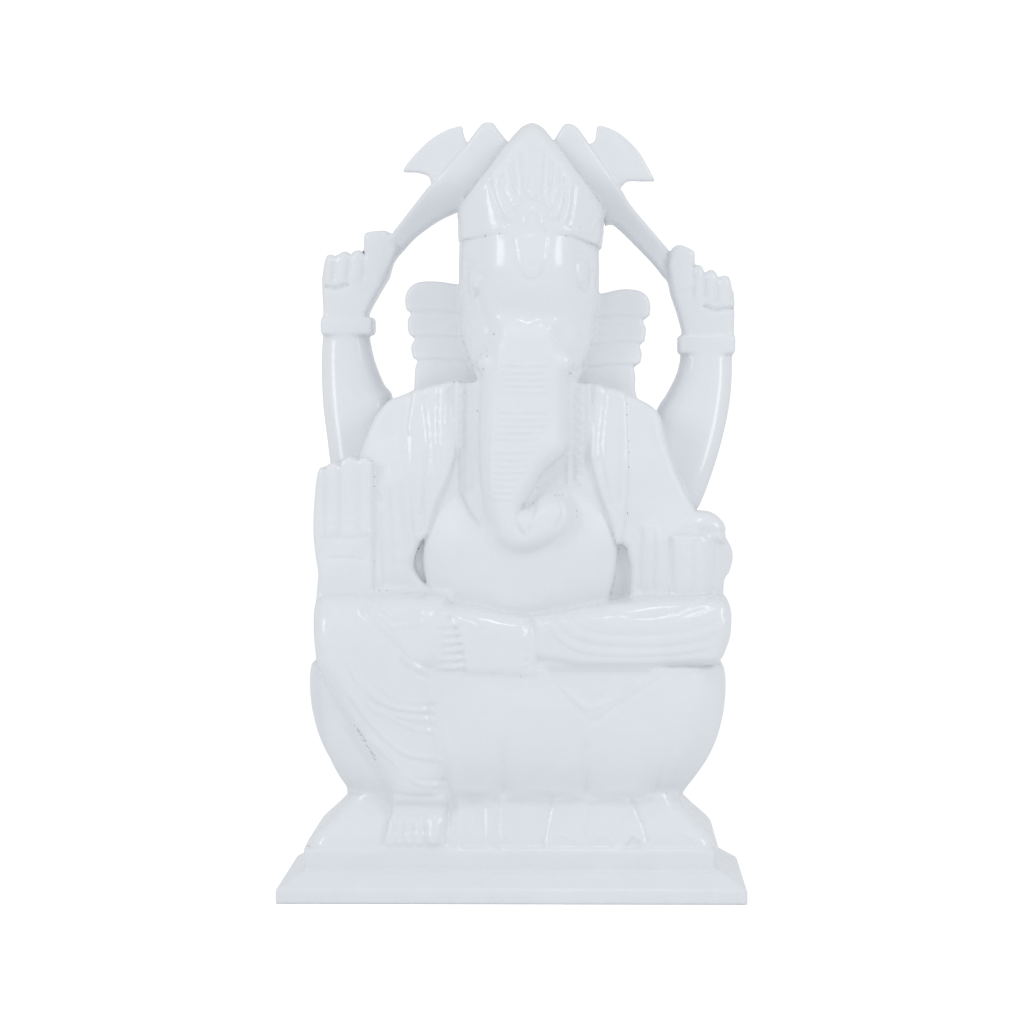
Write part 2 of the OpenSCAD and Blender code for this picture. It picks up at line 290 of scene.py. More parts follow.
def engraved(lines, width, depth, where, fade):
    """Grooves along smooth front-view lines, each a flat run of x and z. fade scales the two ends."""
    def press(x, y, z):
        total = 0
        for run in lines:
            gap, along = line_distance(x, z, smooth(*run))
            strength = fade[0] + (fade[1] - fade[0]) * along
            total = np.maximum(total, np.exp(-(gap / width) ** 2) * strength)
        return depth * total * where(y)

    return press


def sunk(points, depth, edge, limit, share):
    """Lowers the front inside a front-view outline, with a wall edge mm wide. share scales it by height."""
    def press(x, y, z):
        flat = outline_distance(x, z, points)
        part = share(z) if share else 1
        return depth * part * smooth_step(edge / 2, -edge / 2, flat) * front_of(limit)(y)

    return press


# ---------------------------------------------------------------- the block

class Block:
    """The stone: one distance grid, and which form owns each point of it."""

    def __init__(self, low, high, step):
        self.axes = [np.arange(a, b + s, s, dtype=np.float32) for a, b, s in zip(low, high, step)]
        shape = tuple(len(a) for a in self.axes)
        self.field = np.full(shape, FAR, np.float32)
        self.nearest = np.full(shape, FAR, np.float32)
        self.owner = np.zeros(shape, np.uint8)
        self.names = [None]

    def window(self, low, high):
        spans = []
        for axis, a, b in zip(self.axes, low, high):
            first = max(int(np.searchsorted(axis, a - MARGIN)) - 1, 0)
            last = min(int(np.searchsorted(axis, b + MARGIN)) + 1, len(axis))
            spans.append(slice(first, last))
        return tuple(spans)

    def coordinates(self, spans):
        x, y, z = (axis[s] for axis, s in zip(self.axes, spans))
        return x[:, None, None], y[None, :, None], z[None, None, :]

    def place(self, form):
        """Adds a form to the stone, blended into what is there."""
        spans = self.window(form.low, form.high)
        local = np.full(self.field[spans].shape, FAR, np.float32)
        origin = [s.start for s in spans]
        for kind, shape, soft in form.steps:
            if kind == "press":
                local += shape(*self.coordinates(spans))
                continue
            inner = self.window(shape.low, shape.high)
            inner = tuple(slice(max(a.start, s.start), min(a.stop, s.stop)) for a, s in zip(inner, spans))
            if any(a.stop <= a.start for a in inner):
                continue
            near = tuple(slice(a.start - o, a.stop - o) for a, o in zip(inner, origin))
            distance = shape.distance(*self.coordinates(inner)).astype(np.float32)
            if kind == "add":
                local[near] = smooth_min(local[near], distance, soft)
            else:
                local[near] = smooth_max(local[near], -distance, soft)
        field = self.field[spans]
        if form.crease > 0:
            field += form.crease * np.exp(-(np.maximum(local, 0) / form.crease_width) ** 2) * (local > -1)
        field[...] = smooth_min(field, local, form.blend)
        nearer = local < self.nearest[spans]
        self.names.append(form.name)
        self.owner[spans][nearer] = len(self.names) - 1
        self.nearest[spans][nearer] = local[nearer]

    def hollow(self, shape):
        """Cuts a hollow out of everything placed so far."""
        spans = self.window(shape.low, shape.high)
        distance = shape.distance(*self.coordinates(spans)).astype(np.float32)
        self.field[spans] = smooth_max(self.field[spans], -distance, HOLLOW_EDGE)


class Form:
    """One carved form: solids added and cut in order, and patterns pressed into its surface."""

    def __init__(self, name, blend, crease, crease_width=0.8):
        self.name, self.blend = name, blend
        self.crease, self.crease_width = crease, crease_width
        self.steps = []
        self.low, self.high = np.full(3, 1e3), np.full(3, -1e3)

    def add(self, solid, soft=1.0):
        self.steps.append(("add", solid, soft))
        self.low, self.high = np.minimum(self.low, solid.low), np.maximum(self.high, solid.high)
        return self

    def cut(self, solid, soft):
        self.steps.append(("cut", solid, soft))

    def press(self, pattern):
        self.steps.append(("press", pattern, 0))

    def carve(self, lines, width, depth, limit, fade=(1, 1)):
        """Presses in grooves, or raises ridges if depth is negative, in front of a limit."""
        self.press(engraved(lines, width, depth, front_of(limit), fade))

    def sink(self, points, depth, edge, limit, share=None):
        """Lowers the front inside an outline."""
        self.press(sunk(points, depth, edge, limit, share))

    def carve_back(self, lines, width, depth, limit, fade=(1, 1)):
        """Does what carve does, behind a limit."""
        self.press(engraved(lines, width, depth, behind(limit), fade))


# ---------------------------------------------------------------- the surface

def mesh_block(stone):
    """Surface nets over the stone. Returns vertices, whether each is on the outside, and faces by owner."""
    field, label = stone.field, np.where(stone.field < 0, stone.owner, 0).astype(np.uint8)
    shape = np.array(field.shape)
    cells = np.zeros(shape - 1, bool)
    changed = []
    for axis in range(3):
        lower = [slice(None)] * 3
        upper = [slice(None)] * 3
        lower[axis], upper[axis] = slice(None, -1), slice(1, None)
        change = label[tuple(lower)] != label[tuple(upper)]
        changed.append(change)
        others = [a for a in range(3) if a != axis]
        for du in (0, 1):
            for dv in (0, 1):
                part = [slice(None)] * 3
                part[others[0]] = slice(du, shape[others[0]] - 1 + du)
                part[others[1]] = slice(dv, shape[others[1]] - 1 + dv)
                cells |= change[tuple(part)]
    where = np.argwhere(cells)
    index = np.full(cells.shape, -1, np.int32)
    index[tuple(where.T)] = np.arange(len(where), dtype=np.int32)

    corners = [(a, b, c) for a in (0, 1) for b in (0, 1) for c in (0, 1)]
    values = {c: field[tuple((where + c).T)] for c in corners}
    labels = {c: label[tuple((where + c).T)] for c in corners}
    outer_sum, inner_sum = np.zeros((len(where), 3)), np.zeros((len(where), 3))
    outer_n, inner_n = np.zeros(len(where)), np.zeros(len(where))
    for axis in range(3):
        for c in corners:
            if c[axis]:
                continue
            d = tuple(1 if a == axis else c[a] for a in range(3))
            f0, f1 = values[c], values[d]
            crossing = (f0 < 0) != (f1 < 0)
            t = np.where(crossing, f0 / np.where(crossing, f0 - f1, 1), 0.5)
            place = np.tile(np.array(c, float), (len(where), 1))
            place[:, axis] += t
            outer_sum += place * crossing[:, None]
            outer_n += crossing
            inner = (labels[c] != labels[d]) & ~crossing
            inner_sum += place * inner[:, None]
            inner_n += inner
    outside = outer_n > 0
    offset = np.where(outside[:, None], outer_sum / np.maximum(outer_n, 1)[:, None],
                      inner_sum / np.maximum(inner_n, 1)[:, None])
    place = where + offset
    vertices = np.stack([np.interp(place[:, a], np.arange(shape[a]), stone.axes[a]) for a in range(3)], 1)

    faces = {}
    for axis in range(3):
        u, v = [a for a in range(3) if a != axis]
        edge = np.argwhere(changed[axis])
        keep = (edge[:, u] > 0) & (edge[:, v] > 0) & (edge[:, u] < shape[u] - 1) & (edge[:, v] < shape[v] - 1)
        edge = edge[keep]
        ends = edge.copy()
        ends[:, axis] += 1
        first, second = label[tuple(edge.T)], label[tuple(ends.T)]
        ring = []
        for du, dv in ((-1, -1), (0, -1), (0, 0), (-1, 0)):
            cell = edge.copy()
            cell[:, u] += du
            cell[:, v] += dv
            ring.append(index[tuple(cell.T)])
        quad = np.stack(ring, 1)
        within = (field[tuple(edge.T)] < 0) & (field[tuple(ends.T)] < 0)
        flush = within & outside[quad].all(1)
        quad, first, second = quad[~flush], first[~flush], second[~flush]
        if axis == 1:
            quad = quad[:, ::-1]
        for owner in range(1, len(stone.names)):
            for side, turned in ((first, False), (second, True)):
                chosen = quad[side == owner]
                faces.setdefault(owner, []).append(chosen[:, ::-1] if turned else chosen)
    return vertices, outside, {k: np.concatenate(v) for k, v in faces.items()}


def middles(vertices, skin):
    """The middle of each outer vertex's neighbours. The others stay where they are."""
    total, count = np.zeros_like(vertices), np.zeros(len(vertices))
    for corner in range(4):
        for other in (corner - 1, (corner + 1) % 4):
            count += np.bincount(skin[:, corner], minlength=len(vertices))
            for a in range(3):
                total[:, a] += np.bincount(skin[:, corner], vertices[skin[:, other], a], len(vertices))
    return np.where(count[:, None] > 0, total / np.maximum(count, 1)[:, None], vertices)


def unfold(vertices, skin, rounds=8):
    """Flattens the few faces that are still folded over in tight creases."""
    for _ in range(rounds):
        face = face_normals(vertices, skin)
        face /= np.maximum(np.linalg.norm(face, axis=1), 1e-9)[:, None]
        facing = np.einsum("qca,qa->qc", outer_normals(vertices, skin)[skin], face).min(1)
        folded = np.unique(skin[facing < LEAST_FACING])
        vertices[folded] = middles(vertices, skin)[folded]
    return vertices


def gather(stone, vertices, outside):
    """Gathers hidden vertices on a grid, coarser where they lie deep. Returns each one's stand-in."""
    value, _ = sample(stone, vertices)
    deep = value < -DEEP
    pitch = np.where(deep, DEEP_PITCH, SHALLOW_PITCH)
    key = np.column_stack([np.floor(vertices / pitch[:, None]).astype(int), deep])
    hidden = np.flatnonzero(~outside & (value < -HIDDEN))
    _, group = np.unique(key[hidden], axis=0, return_inverse=True)
    group = group.ravel()
    count = np.bincount(group)
    first = np.zeros(len(count), int)
    first[group[::-1]] = hidden[::-1]
    middle = [np.bincount(group, vertices[hidden, a]) / count for a in range(3)]
    vertices[first] = np.stack(middle, 1)
    stand_in = np.arange(len(vertices))
    stand_in[hidden] = first[group]
    return stand_in


def lighten(quads, stand_in):
    """Splits faces whose corners were gathered into triangles, less those that vanish or cancel out."""
    moved = (stand_in[quads] != quads).any(1)
    split = stand_in[quads[moved]]
    triangles = np.concatenate([split[:, [0, 1, 2]], split[:, [0, 2, 3]]])
    ordered = np.sort(triangles, 1)
    real = (ordered[:, 0] < ordered[:, 1]) & (ordered[:, 1] < ordered[:, 2])
    triangles, ordered = triangles[real], ordered[real]
    lead = triangles.argmin(1)
    second = triangles[np.arange(len(lead)), (lead + 1) % 3]
    sign = np.where(second == ordered[:, 1], 1, -1)
    kept, group = np.unique(ordered, axis=0, return_inverse=True)
    net = np.bincount(group.ravel(), sign, len(kept))
    return quads[~moved], np.concatenate([kept[net > 0], kept[net < 0][:, ::-1]])


def settle(stone, vertices, outside, rounds=2):
    """Moves the outer vertices onto the stone's surface, and keeps the joints' inner ones inside it."""
    for _ in range(rounds):
        value, slope = sample(stone, vertices)
        steep = np.maximum((slope ** 2).sum(1), LEAST_SLOPE)
        to_surface = np.clip(value, -LONGEST_MOVE, LONGEST_MOVE)
        wanted = np.where(outside, to_surface, np.clip(value + INNER_COVER, 0, INNER_COVER))
        vertices -= (wanted / steep)[:, None] * slope
    return vertices


def sample(stone, points):
    """The distance and its slope at some points, in millimetres."""
    index, part, size = [], [], []
    for a in range(3):
        axis = stone.axes[a]
        i = np.clip(np.searchsorted(axis, points[:, a]) - 1, 0, len(axis) - 2)
        index.append(i)
        size.append(axis[i + 1] - axis[i])
        part.append(np.clip((points[:, a] - axis[i]) / size[-1], 0, 1))
    (i, j, k), (u, v, w) = index, part
    f = stone.field
    c = {(a, b, d): f[i + a, j + b, k + d] for a in (0, 1) for b in (0, 1) for d in (0, 1)}

    def mix(values, t):
        return values[0] * (1 - t) + values[1] * t

    value = mix([mix([mix([c[a, b, 0], c[a, b, 1]], w) for b in (0, 1)], v) for a in (0, 1)], u)
    slope_x = mix([mix([c[1, b, d] - c[0, b, d] for d in (0, 1)], w) for b in (0, 1)], v) / size[0]
    slope_y = mix([mix([c[a, 1, d] - c[a, 0, d] for d in (0, 1)], w) for a in (0, 1)], u) / size[1]
    slope_z = mix([mix([c[a, b, 1] - c[a, b, 0] for b in (0, 1)], v) for a in (0, 1)], u) / size[2]
    return value, np.stack([slope_x, slope_y, slope_z], 1)


def face_normals(vertices, skin):
    p = vertices[skin]
    return np.cross(p[:, 2] - p[:, 0], p[:, 3] - p[:, 1])


def outer_normals(vertices, skin):
    """Smooth normals of the whole outside, so that shading runs unbroken from piece to piece."""
    normals = np.zeros_like(vertices)
    face = face_normals(vertices, skin)
    for corner in range(4):
        for a in range(3):
            normals[:, a] += np.bincount(skin[:, corner], face[:, a], len(vertices))
    length = np.linalg.norm(normals, axis=1)
    return normals / np.maximum(length, 1e-9)[:, None]


def piece_from(name, vertices, normals, quads, triangles):
    """Makes one piece of the block into a mesh object, in metres."""
    used, corners = np.unique(np.concatenate([quads.ravel(), triangles.ravel()]), return_inverse=True)
    sides = np.repeat([4, 3], [len(quads), len(triangles)])
    mesh = bpy.data.meshes.new(name)
    mesh.vertices.add(len(used))
    mesh.vertices.foreach_set("co", (vertices[used] * MM).astype(np.float32).ravel())
    mesh.loops.add(len(corners))
    mesh.loops.foreach_set("vertex_index", corners.astype(np.int32))
    mesh.polygons.add(len(sides))
    mesh.polygons.foreach_set("loop_start", (np.cumsum(sides) - sides).astype(np.int32))
    mesh.update(calc_edges=True)
    mesh.shade_smooth()
    mesh.normals_split_custom_set_from_vertices(normals[used])
    piece = bpy.data.objects.new(name, mesh)
    bpy.context.scene.collection.objects.link(piece)
    return piece




# ---------------------------------------------------------------- base

def plinth_form():
    half_w, half_d, rim_h, top, run = 68.6, 44, 4.3, 9.8, 8.5
    rise = top - rim_h
    steep = math.hypot(rise, run)

    def distance(x, y, z):
        t = np.clip((z - rim_h) / rise, 0, 1)
        cove = 0.1 * np.sin(math.pi * t)
        sides = [np.abs(p) - half for p, half in ((x, half_w), (y, half_d))]
        slopes = [(side * rise + (z - rim_h) * run) / steep + cove for side in sides]
        upright = smooth_max(sides[0], sides[1], 0.8)
        bevel = smooth_max(slopes[0], slopes[1], 0.8)
        return smooth_max(smooth_max(upright, bevel, 0.8), np.maximum(-z, z - top), 0.5)

    body = Solid((-half_w, -half_d, 0), (half_w, half_d, top), distance)
    return Form("plinth", blend=0, crease=0).add(body, 0)


def step_form():
    slab_low, slab_high = (-60.8, -36.4, 8.4), (59.4, 35.5, 15.2)
    return Form("base_step", blend=0.8, crease=0.3).add(block(slab_low, slab_high, 0.9), 0)


def lower_lotus_form():
    half_w = profile((14, 17, 19.5, 24, 28.8, 30), (60.6, 60, 58, 53.2, 49, 48.5))
    front = profile((14, 17, 19.5, 24, 28.8, 30), (35.2, 35, 34.4, 32.8, 31.4, 31))
    back = profile((14, 17, 19.5, 24, 28.8, 30), (35, 34.8, 33.6, 30.5, 27.5, 27))
    form = Form("lower_lotus", blend=2, crease=0.2)
    form.add(tower(13.4, 30.4, half_w, front, back, 6, rounding=0.4, slope=0.8), 0)
    creases = [(-33.9, 31, -36, 24, -38.2, 17), (12.1, 30, 10.1, 21.3, 9.1, 15.5), (35.3, 28.6, 38.6, 21.3,
        39.6, 17.6)]
    form.carve(creases, 0.45, 0.5, -20)
    form.carve([(-19, 31, -19.2, 15), (-4.2, 31, -4.2, 14.6), (22.7, 26, 21.4, 19)], 0.45, 0.35, -20)
    form.carve([(-11.2, 30.5, -11.4, 15.5)], 2.4, 0.8, -20, fade=(1, 0.3))
    form.carve([(-15.6, 30, -15.6, 16), (-6.9, 30, -6.8, 15), (-2.8, 30, -2.8, 16)], 0.7, -0.35, -20)
    petals = [(-2.6, 29.6, 4, 30.4, 10.5, 29.2), (13.6, 29.2, 19.5, 30.4, 24, 29, 29, 30.2, 34, 29),
        (37, 28.8, 41, 30.2, 45.5, 29.4)]
    form.carve(petals, 0.9, -0.3, -20)
    tips = [(9.4, 15.4, 11.2, 17.2, 14.4, 19.4), (14.4, 19.4, 21.7, 16.4), (21.7, 16.5, 27, 19.7),
        (27, 19.7, 31.6, 15.6, 35.2, 19.2, 39.6, 15.8), (48.2, 20.6, 53.5, 17.8)]
    form.carve(tips, 0.45, -0.25, -20)
    form.sink(corners(31.8, 14.6, 35.2, 18.8, 39.2, 14.6), 0.5, 1.6, -20)
    form.carve_back([(x, 30, x * 1.12, 14) for x in (-48, -36, -24, -12, 0, 12, 24, 36, 48)], 1, 1.4, 18)
    return form


def upper_lotus_form():
    heights = (27.5, 29.5, 32, 36, 41, 47, 54, 60, 65, 68.5)
    half_w = profile(heights, (48, 48.7, 50.3, 53.2, 56.4, 59.1, 60.9, 61.6, 61.6, 61))
    front = profile(heights, (31, 31.6, 33.2, 35.4, 37.2, 38.2, 38.4, 38.2, 37.8, 37.2))
    back = profile(heights, (26, 27.2, 29.4, 31.2, 32.2, 32.4, 32.4, 32.4, 32.2, 31.6))
    form = Form("upper_lotus", blend=3, crease=0.1)
    form.add(tower(29, 68.6, half_w, front, back, 14, centre_x=1.1, rounding=0.9, slope=0.92), 0)
    form.sink(corners(-70, 75, -57, 68.6, -33.4, 30.6, -33, 20, -70, 20), 3.6, 3, -14,
        lambda z: smooth_step(30, 58, z))
    beside_leg = [(-57.2, 69.4, -48.6, 54.5, -40.6, 41, -34.8, 30.8), (-24.2, 66, -22.8, 55, -20.8, 43,
        -18.8, 32)]
    form.carve(beside_leg, 1.2, 0.7, -14)
    lobes = [(-2.4, 49, -2.4, 42, -2.5, 28), (22.2, 49, 21.8, 42, 21.8, 28), (48.4, 49, 45.4, 42, 41.4, 31)]
    form.carve(lobes, 0.5, 0.5, -12, fade=(0, 1))
    form.carve(lobes, 3.6, 0.9, -12, fade=(0, 1))
    form.carve([(-20, 31, -12, 31.8, -4.5, 31), (0, 31, 9.5, 31.6, 19.5, 31), (24, 31, 32, 31.6,
        39.5, 31)], 2.2, -0.5, -12)
    notch = corners(9.6, 69.6, 10.6, 66.6, 23.3, 57.8, 40.2, 66.6, 41, 69.6)
    form.sink(notch, 1, 1.6, -20)
    form.carve([(9.6, 67.4, 23.2, 56.6, 41.4, 67.4, 58, 67.8), (-22, 67.4, 9.6, 67.4)], 0.55, -0.3, -20)
    form.carve([(12, 64.5, 23.2, 52.4), (23.2, 52.4, 42.5, 65)], 0.5, 0.3, -20)
    form.carve([(-2.5, 40, -2.3, 52), (22, 44, 23, 52)], 0.5, 0.2, -20, fade=(1, 0))
    form.carve([(x, 66.9, x + 0.1, 65.2) for x in (-6, -3.9, -1.9, 0.2, 2.2, 4.3, 6.2, 8.1)], 0.32, 0.3, -20)
    back_lobes = [(x * 1.16, 56, x * 1.08, 42, x, 28) for x in (-44, -27, -9, 9, 27, 44)]
    form.carve_back(back_lobes, 1.1, 2, 12, fade=(0, 1))
    form.carve_back(back_lobes, 4, 1.4, 12, fade=(0, 1))
    form.add(block((-24, -36.4, 55), (50, 26, 70.5), 1), 0)
    form.add(block((-44, -27, 26), (44, 24, 40), 1), 0)
    form.add(block((-27, -38.2, 58), (-14, 0, 71.5), 1), 0)
    return form


# ---------------------------------------------------------------- legs

def lap_depth(front, top_z, crown_y=-24):
    """Side view of something that lies folded across the lap, with a rounded front."""
    return smooth(crown_y + 30, top_z - 1, crown_y + 12, top_z, crown_y, top_z, front + 5, top_z - 2.6,
        front + 1.2, top_z - 7, front, top_z - 13, front + 0.6, 64) + corners(crown_y + 38, 64)


def hanging_leg_form():
    form = Form("hanging_leg", blend=2.5, crease=0)
    leg = (smooth(-18, 90, -30, 91.6, -44, 91.8, -54.8, 91.4, -57.8, 87.5, -58, 79, -57.2, 70.4)
        + corners(-56.2, 67.8) + smooth(-56.2, 67.8, -48.2, 54.5, -40.2, 41, -34.6, 30.6) + corners(-33.8, 28,
        -18.6, 28) + smooth(-19.4, 31, -21.6, 45, -23.8, 60, -24.4, 68) + corners(-18, 70))
    side = (smooth(14, 89, 0, 91.6, -22, 91.6, -33, 89.4, -38.4, 83, -40.2, 75, -40.6, 62, -39.4, 46,
        -36.8, 27) + corners(-20, 27, -20, 60, 14, 66))
    form.add(both(slab(-60, 60, leg, 2.4), across(-80, 80, side, 2), 6), 0)
    grooves = [(-51.5, 80, -49.6, 74.5, -46.4, 65.5, -41.5, 59.6, -34.2, 56, -22.5, 54.6),
        (-46.5, 78, -44.2, 70, -40.4, 63.8, -34.6, 58.6, -27, 57.4, -22, 57.2), (-48.5, 61, -44.2, 54.8,
        -39, 48.8, -33.8, 44.2, -28, 41.2, -19.8, 40), (-38.5, 43.6, -34.2, 39.6, -29.5, 36.6, -26, 35.6,
        -19, 35.2), (-36, 55.6, -30.4, 52.4, -22, 51), (-33.3, 74.6, -29.5, 71.4, -23.4, 68.2),
        (-32.4, 70.2, -29, 67.4, -24.2, 65.2)]
    form.carve(grooves, 0.45, 0.28, -22)
    ridges = [(-50.4, 78, -48.2, 71, -44.2, 64.2, -38.5, 58.8, -32, 56.6, -22.3, 55.9),
        (-50.3, 75.4, -47.6, 69, -45, 64.4, -40.8, 57, -34.6, 54.8, -22.4, 53), (-46.8, 60.6, -42.6, 54.2,
        -37.4, 48.2, -31.8, 43.6, -27, 42.6, -19.8, 41.6), (-40.6, 47.2, -35.6, 41.6, -31.5, 37.8,
        -26.5, 34.4, -19, 33.8), (-34.5, 53.8, -28.4, 50.8, -21.5, 49.4), (-32.4, 72.2, -28.8, 69.3,
        -23.8, 66.9)]
    form.carve(ridges, 0.6, -0.4, -22)
    hem = [(-44, 86.8, -42, 85.6, -37.6, 83.2, -35.1, 80.4, -32.6, 80.8, -29.5, 80.8, -26.6, 81.6),
        (-42.4, 88.2, -38.2, 86.2, -34.4, 83.2, -31.6, 83.4, -27.4, 84.2)]
    form.carve(hem, 0.55, -0.45, -10)
    form.carve([(-43.4, 84.8, -40, 81.4, -36.4, 77.6, -33.4, 75)], 0.6, 0.4, -12)
    form.carve([(-20, 31, -27, 30.6, -34.4, 31.4)], 0.6, 0.5, -20)
    return form


def right_foot_form():
    form = Form("right_foot", blend=2, crease=0.25)
    foot = corners(-34, 32, -35.4, 25, -37.4, 18, -37.6, 15.4, -19.2, 15.4, -19.2, 24, -19.4, 32)
    side = smooth(-20, 33, -34.6, 33, -35, 27, -35.3, 23, -35.8, 20, -36.2, 17.6, -36, 15.4)
    form.add(both(slab(-50, 60, foot, 1), across(-60, 40, side + corners(-20, 15.4), 1), 2), 0)
    toes = ((-35.2, 1.2), (-32.7, 1.3), (-29.9, 1.4), (-26.9, 1.6), (-23, 2.2))
    for x, r in toes:
        form.add(rod((x + 0.4, -34.6, 22.4), (x, -35.6, 17.0 + 0.5 * r), r * 0.9, r), 1.5)
    form.carve([(x - r - 0.1, 22.8, x - r - 0.2, 16.6) for x, r in toes[1:]], 0.4, 0.35, -30)
    form.carve([(x - 0.5 * r, 18.3, x + 0.5 * r, 18.3) for x, r in toes], 0.35, 0.2, -30)
    return form


def folded_foot_form():
    form = Form("folded_foot", blend=1.6, crease=0.45, crease_width=0.6)
    foot = (smooth(-26.2, 83.6, -24.6, 85.4, -22, 86.8, -17.1, 88, -10.2, 87.2, -4.6, 85, 1, 83.6)
        + corners(5, 83, 5, 65.5, -20.8, 65.5) + smooth(-21.8, 68.9, -24, 77, -25.6, 81))
    form.add(both(slab(-60, 60, foot, 1.2), across(-60, 40, lap_depth(-39.2, 88.6, -22)), 4), 0)
    toes = [(-25.2, 80.9 - 2.45 * i, -19.5, 80.6 - 2.45 * i, -15.0 + 0.25 * i,
        81.3 - 2.45 * i) for i in range(6)]
    form.carve(lowered(toes, 1.25), 0.45, 0.55, -20)
    form.carve([(-24.0 + 0.3 * i, 80.9 - 2.45 * i, -16.0 + 0.25 * i, 81.2 - 2.45 * i) for i in range(6)], 1,
        -0.5, -20)
    form.carve([(-18.3, 82.8, -15.8, 78.3, -14.3, 71.4, -14, 67)], 0.55, 0.6, -20)
    form.carve([(-19, 85.2, -14.5, 82.6, -9.4, 80.6)], 1.2, -0.5, -20)
    return form


def ankle_cuff_form():
    form = Form("ankle_cuff", blend=1.6, crease=0.25, crease_width=0.6)
    cuff = corners(-1.6, 84.6, 8, 83.6, 8, 65.5, -1.8, 65.5)
    form.add(both(slab(-60, 60, cuff, 0.8), across(-60, 60, lap_depth(-39, 85.4, -22)), 4), 0)
    rungs = [(-1, 82 - 1.75 * i, 1.4, 81.4 - 1.75 * i) for i in range(9)]
    rungs += [(2.3, 81.6 - 2.6 * i, 3.6, 80.4 - 2.6 * i, 5, 81.6 - 2.6 * i) for i in range(6)]
    form.carve(rungs, 0.42, 0.35, -20)
    form.carve([(1.7, 83, 1.9, 67)], 0.4, 0.35, -20)
    return form


def folded_leg_form():
    form = Form("folded_leg", blend=1.6, crease=0.35, crease_width=0.6)
    leg = (smooth(5.6, 83.4, 12, 84.4, 26, 87, 42, 90, 56, 91.4, 61.8, 89.8, 64, 85.5, 63.8, 78, 62.4, 73.4)
        + corners(61.6, 71.4, 61, 68, 46, 67.6, 44, 65.5, 5.4, 65.5))
    form.add(both(slab(-60, 60, leg, 2), across(-80, 80, lap_depth(-39.6, 91.4, -20)), 5), 0)
    arcs = [(24, 87, 27.5, 85.2, 33, 83.6, 40, 83.2, 48, 84.8, 61.5, 90), (11.8, 82.8, 15.4, 78.6, 20.4, 75.9,
        32.3, 74.4, 46, 74.8, 57.5, 76.4), (9.2, 82, 13.7, 75.9, 19.5, 72.7, 28.3, 71.6, 45.5, 71.9,
        57, 73.4), (16.6, 83.4, 20.5, 80, 28, 78.2, 40, 78, 52, 79.4, 62.5, 83.5)]
    form.carve(arcs, 0.4, 0.25, -14)
    ridges = [(10.4, 82.6, 14.6, 77.2, 20, 74.3, 30.3, 73, 45.8, 73.3, 57.2, 74.9), (14.2, 83.2, 18.2, 79.4,
        24, 77.2, 36, 76.2, 48, 77, 60, 79.8), (20, 85.4, 24, 82.8, 30, 80.8, 38, 80.4, 50, 82, 62, 86.4)]
    form.carve(ridges, 1, -0.28, -14)
    form.sink(corners(7, 71.6, 13, 71, 20, 69.6, 50, 69.8, 66, 71, 66, 60, 7, 60), 1.1, 2.5, -24)
    return form


# ---------------------------------------------------------------- body

def torso_form():
    form = Form("torso", blend=0, crease=0)
    body = (smooth(-44.5, 66, -45.5, 90, -45.8, 118, -43.2, 134, -38.2, 144.4, -31, 148.8, -20, 151.6,
        4.7, 152.4, 27, 151, 35.6, 147.6, 42.4, 141.6, 47, 130, 50, 112, 48.5, 90, 47.5, 66))
    side = (smooth(12, 152.8, 20, 148.5, 26.5, 138, 30, 122, 31, 104, 32, 90, 32.6, 76, 31.6, 66)
        + smooth(-20, 66, -17, 90, -12, 108, -9.5, 130, -8, 146, 2, 152.8))
    form.add(both(slab(-60, 60, body, 4), across(-80, 80, side, 3), 12), 0)
    form.add(block((-35, -20.6, 78), (37, 0, 128), 2), 0)
    drape = [(-40, 138, -28, 128, -8, 120, 16, 118, 36, 126, 43, 134), (-42, 126, -28, 114, -8, 106, 16, 104,
        36, 112, 46, 122), (-43, 112, -28, 100, -8, 92, 16, 90, 36, 98, 47, 108), (-43, 98, -28, 87, -8, 80,
        16, 79, 36, 86, 47, 95)]
    form.carve_back(drape, 0.9, 0.7, 10)
    form.carve_back(lowered(drape, 2.6), 1.8, -0.7, 10)
    return form


def hips_form():
    """The lap's back half, under the belly, counted with the torso."""
    return Form("torso", blend=4, crease=0).add(block((-50, -12, 66), (52, 31, 86), 9), 0)


def body_front(z):
    """How far forward the clothed upper body comes at each height."""
    return -24.5 + 4.5 * smooth_step(120, 154, z)


def belly_front(x, z):
    """How far forward the belly comes: a shallow dome."""
    r2 = ((x - 2.3) / 28.8) ** 2 + ((z - 98) / 27) ** 2
    return -23.4 - 7.6 * np.maximum(1 - r2, 0) - 1.0 * smooth_step(100, 84, z)


def belly_form():
    form = Form("belly", blend=1.2, crease=0.4, crease_width=0.6)
    outline = (smooth(-16.6, 130, -20.9, 121.7, -24.2, 112.8, -26, 105.1, -26.4, 98.5, -25.2, 92, -22.4, 86,
        -21, 78) + smooth(27, 78, 28.2, 87, 29.8, 93.2, 30.8, 100.3, 30.4, 105.1, 28, 112.8, 24.8, 120.5,
        22.8, 130))
    form.add(slab(belly_front, 0, outline, 1.2), 0)
    hollow = corners(-16, 140, -16.2, 120.5, -12.5, 113.5, -8.7, 108.5, 0, 107, 3, 113, 3, 140)
    form.cut(slab(-60, -12, hollow, 0.5), 0.8)
    form.cut(slab(-60, -12, corners(2, 140, 2, 112, 10, 118, 21.8, 124, 22, 140), 0.5), 5)
    form.carve([(-1.6, 97.4, 2.6, 96.6, 6.6, 97.2)], 0.9, 0.2, -10)
    return form


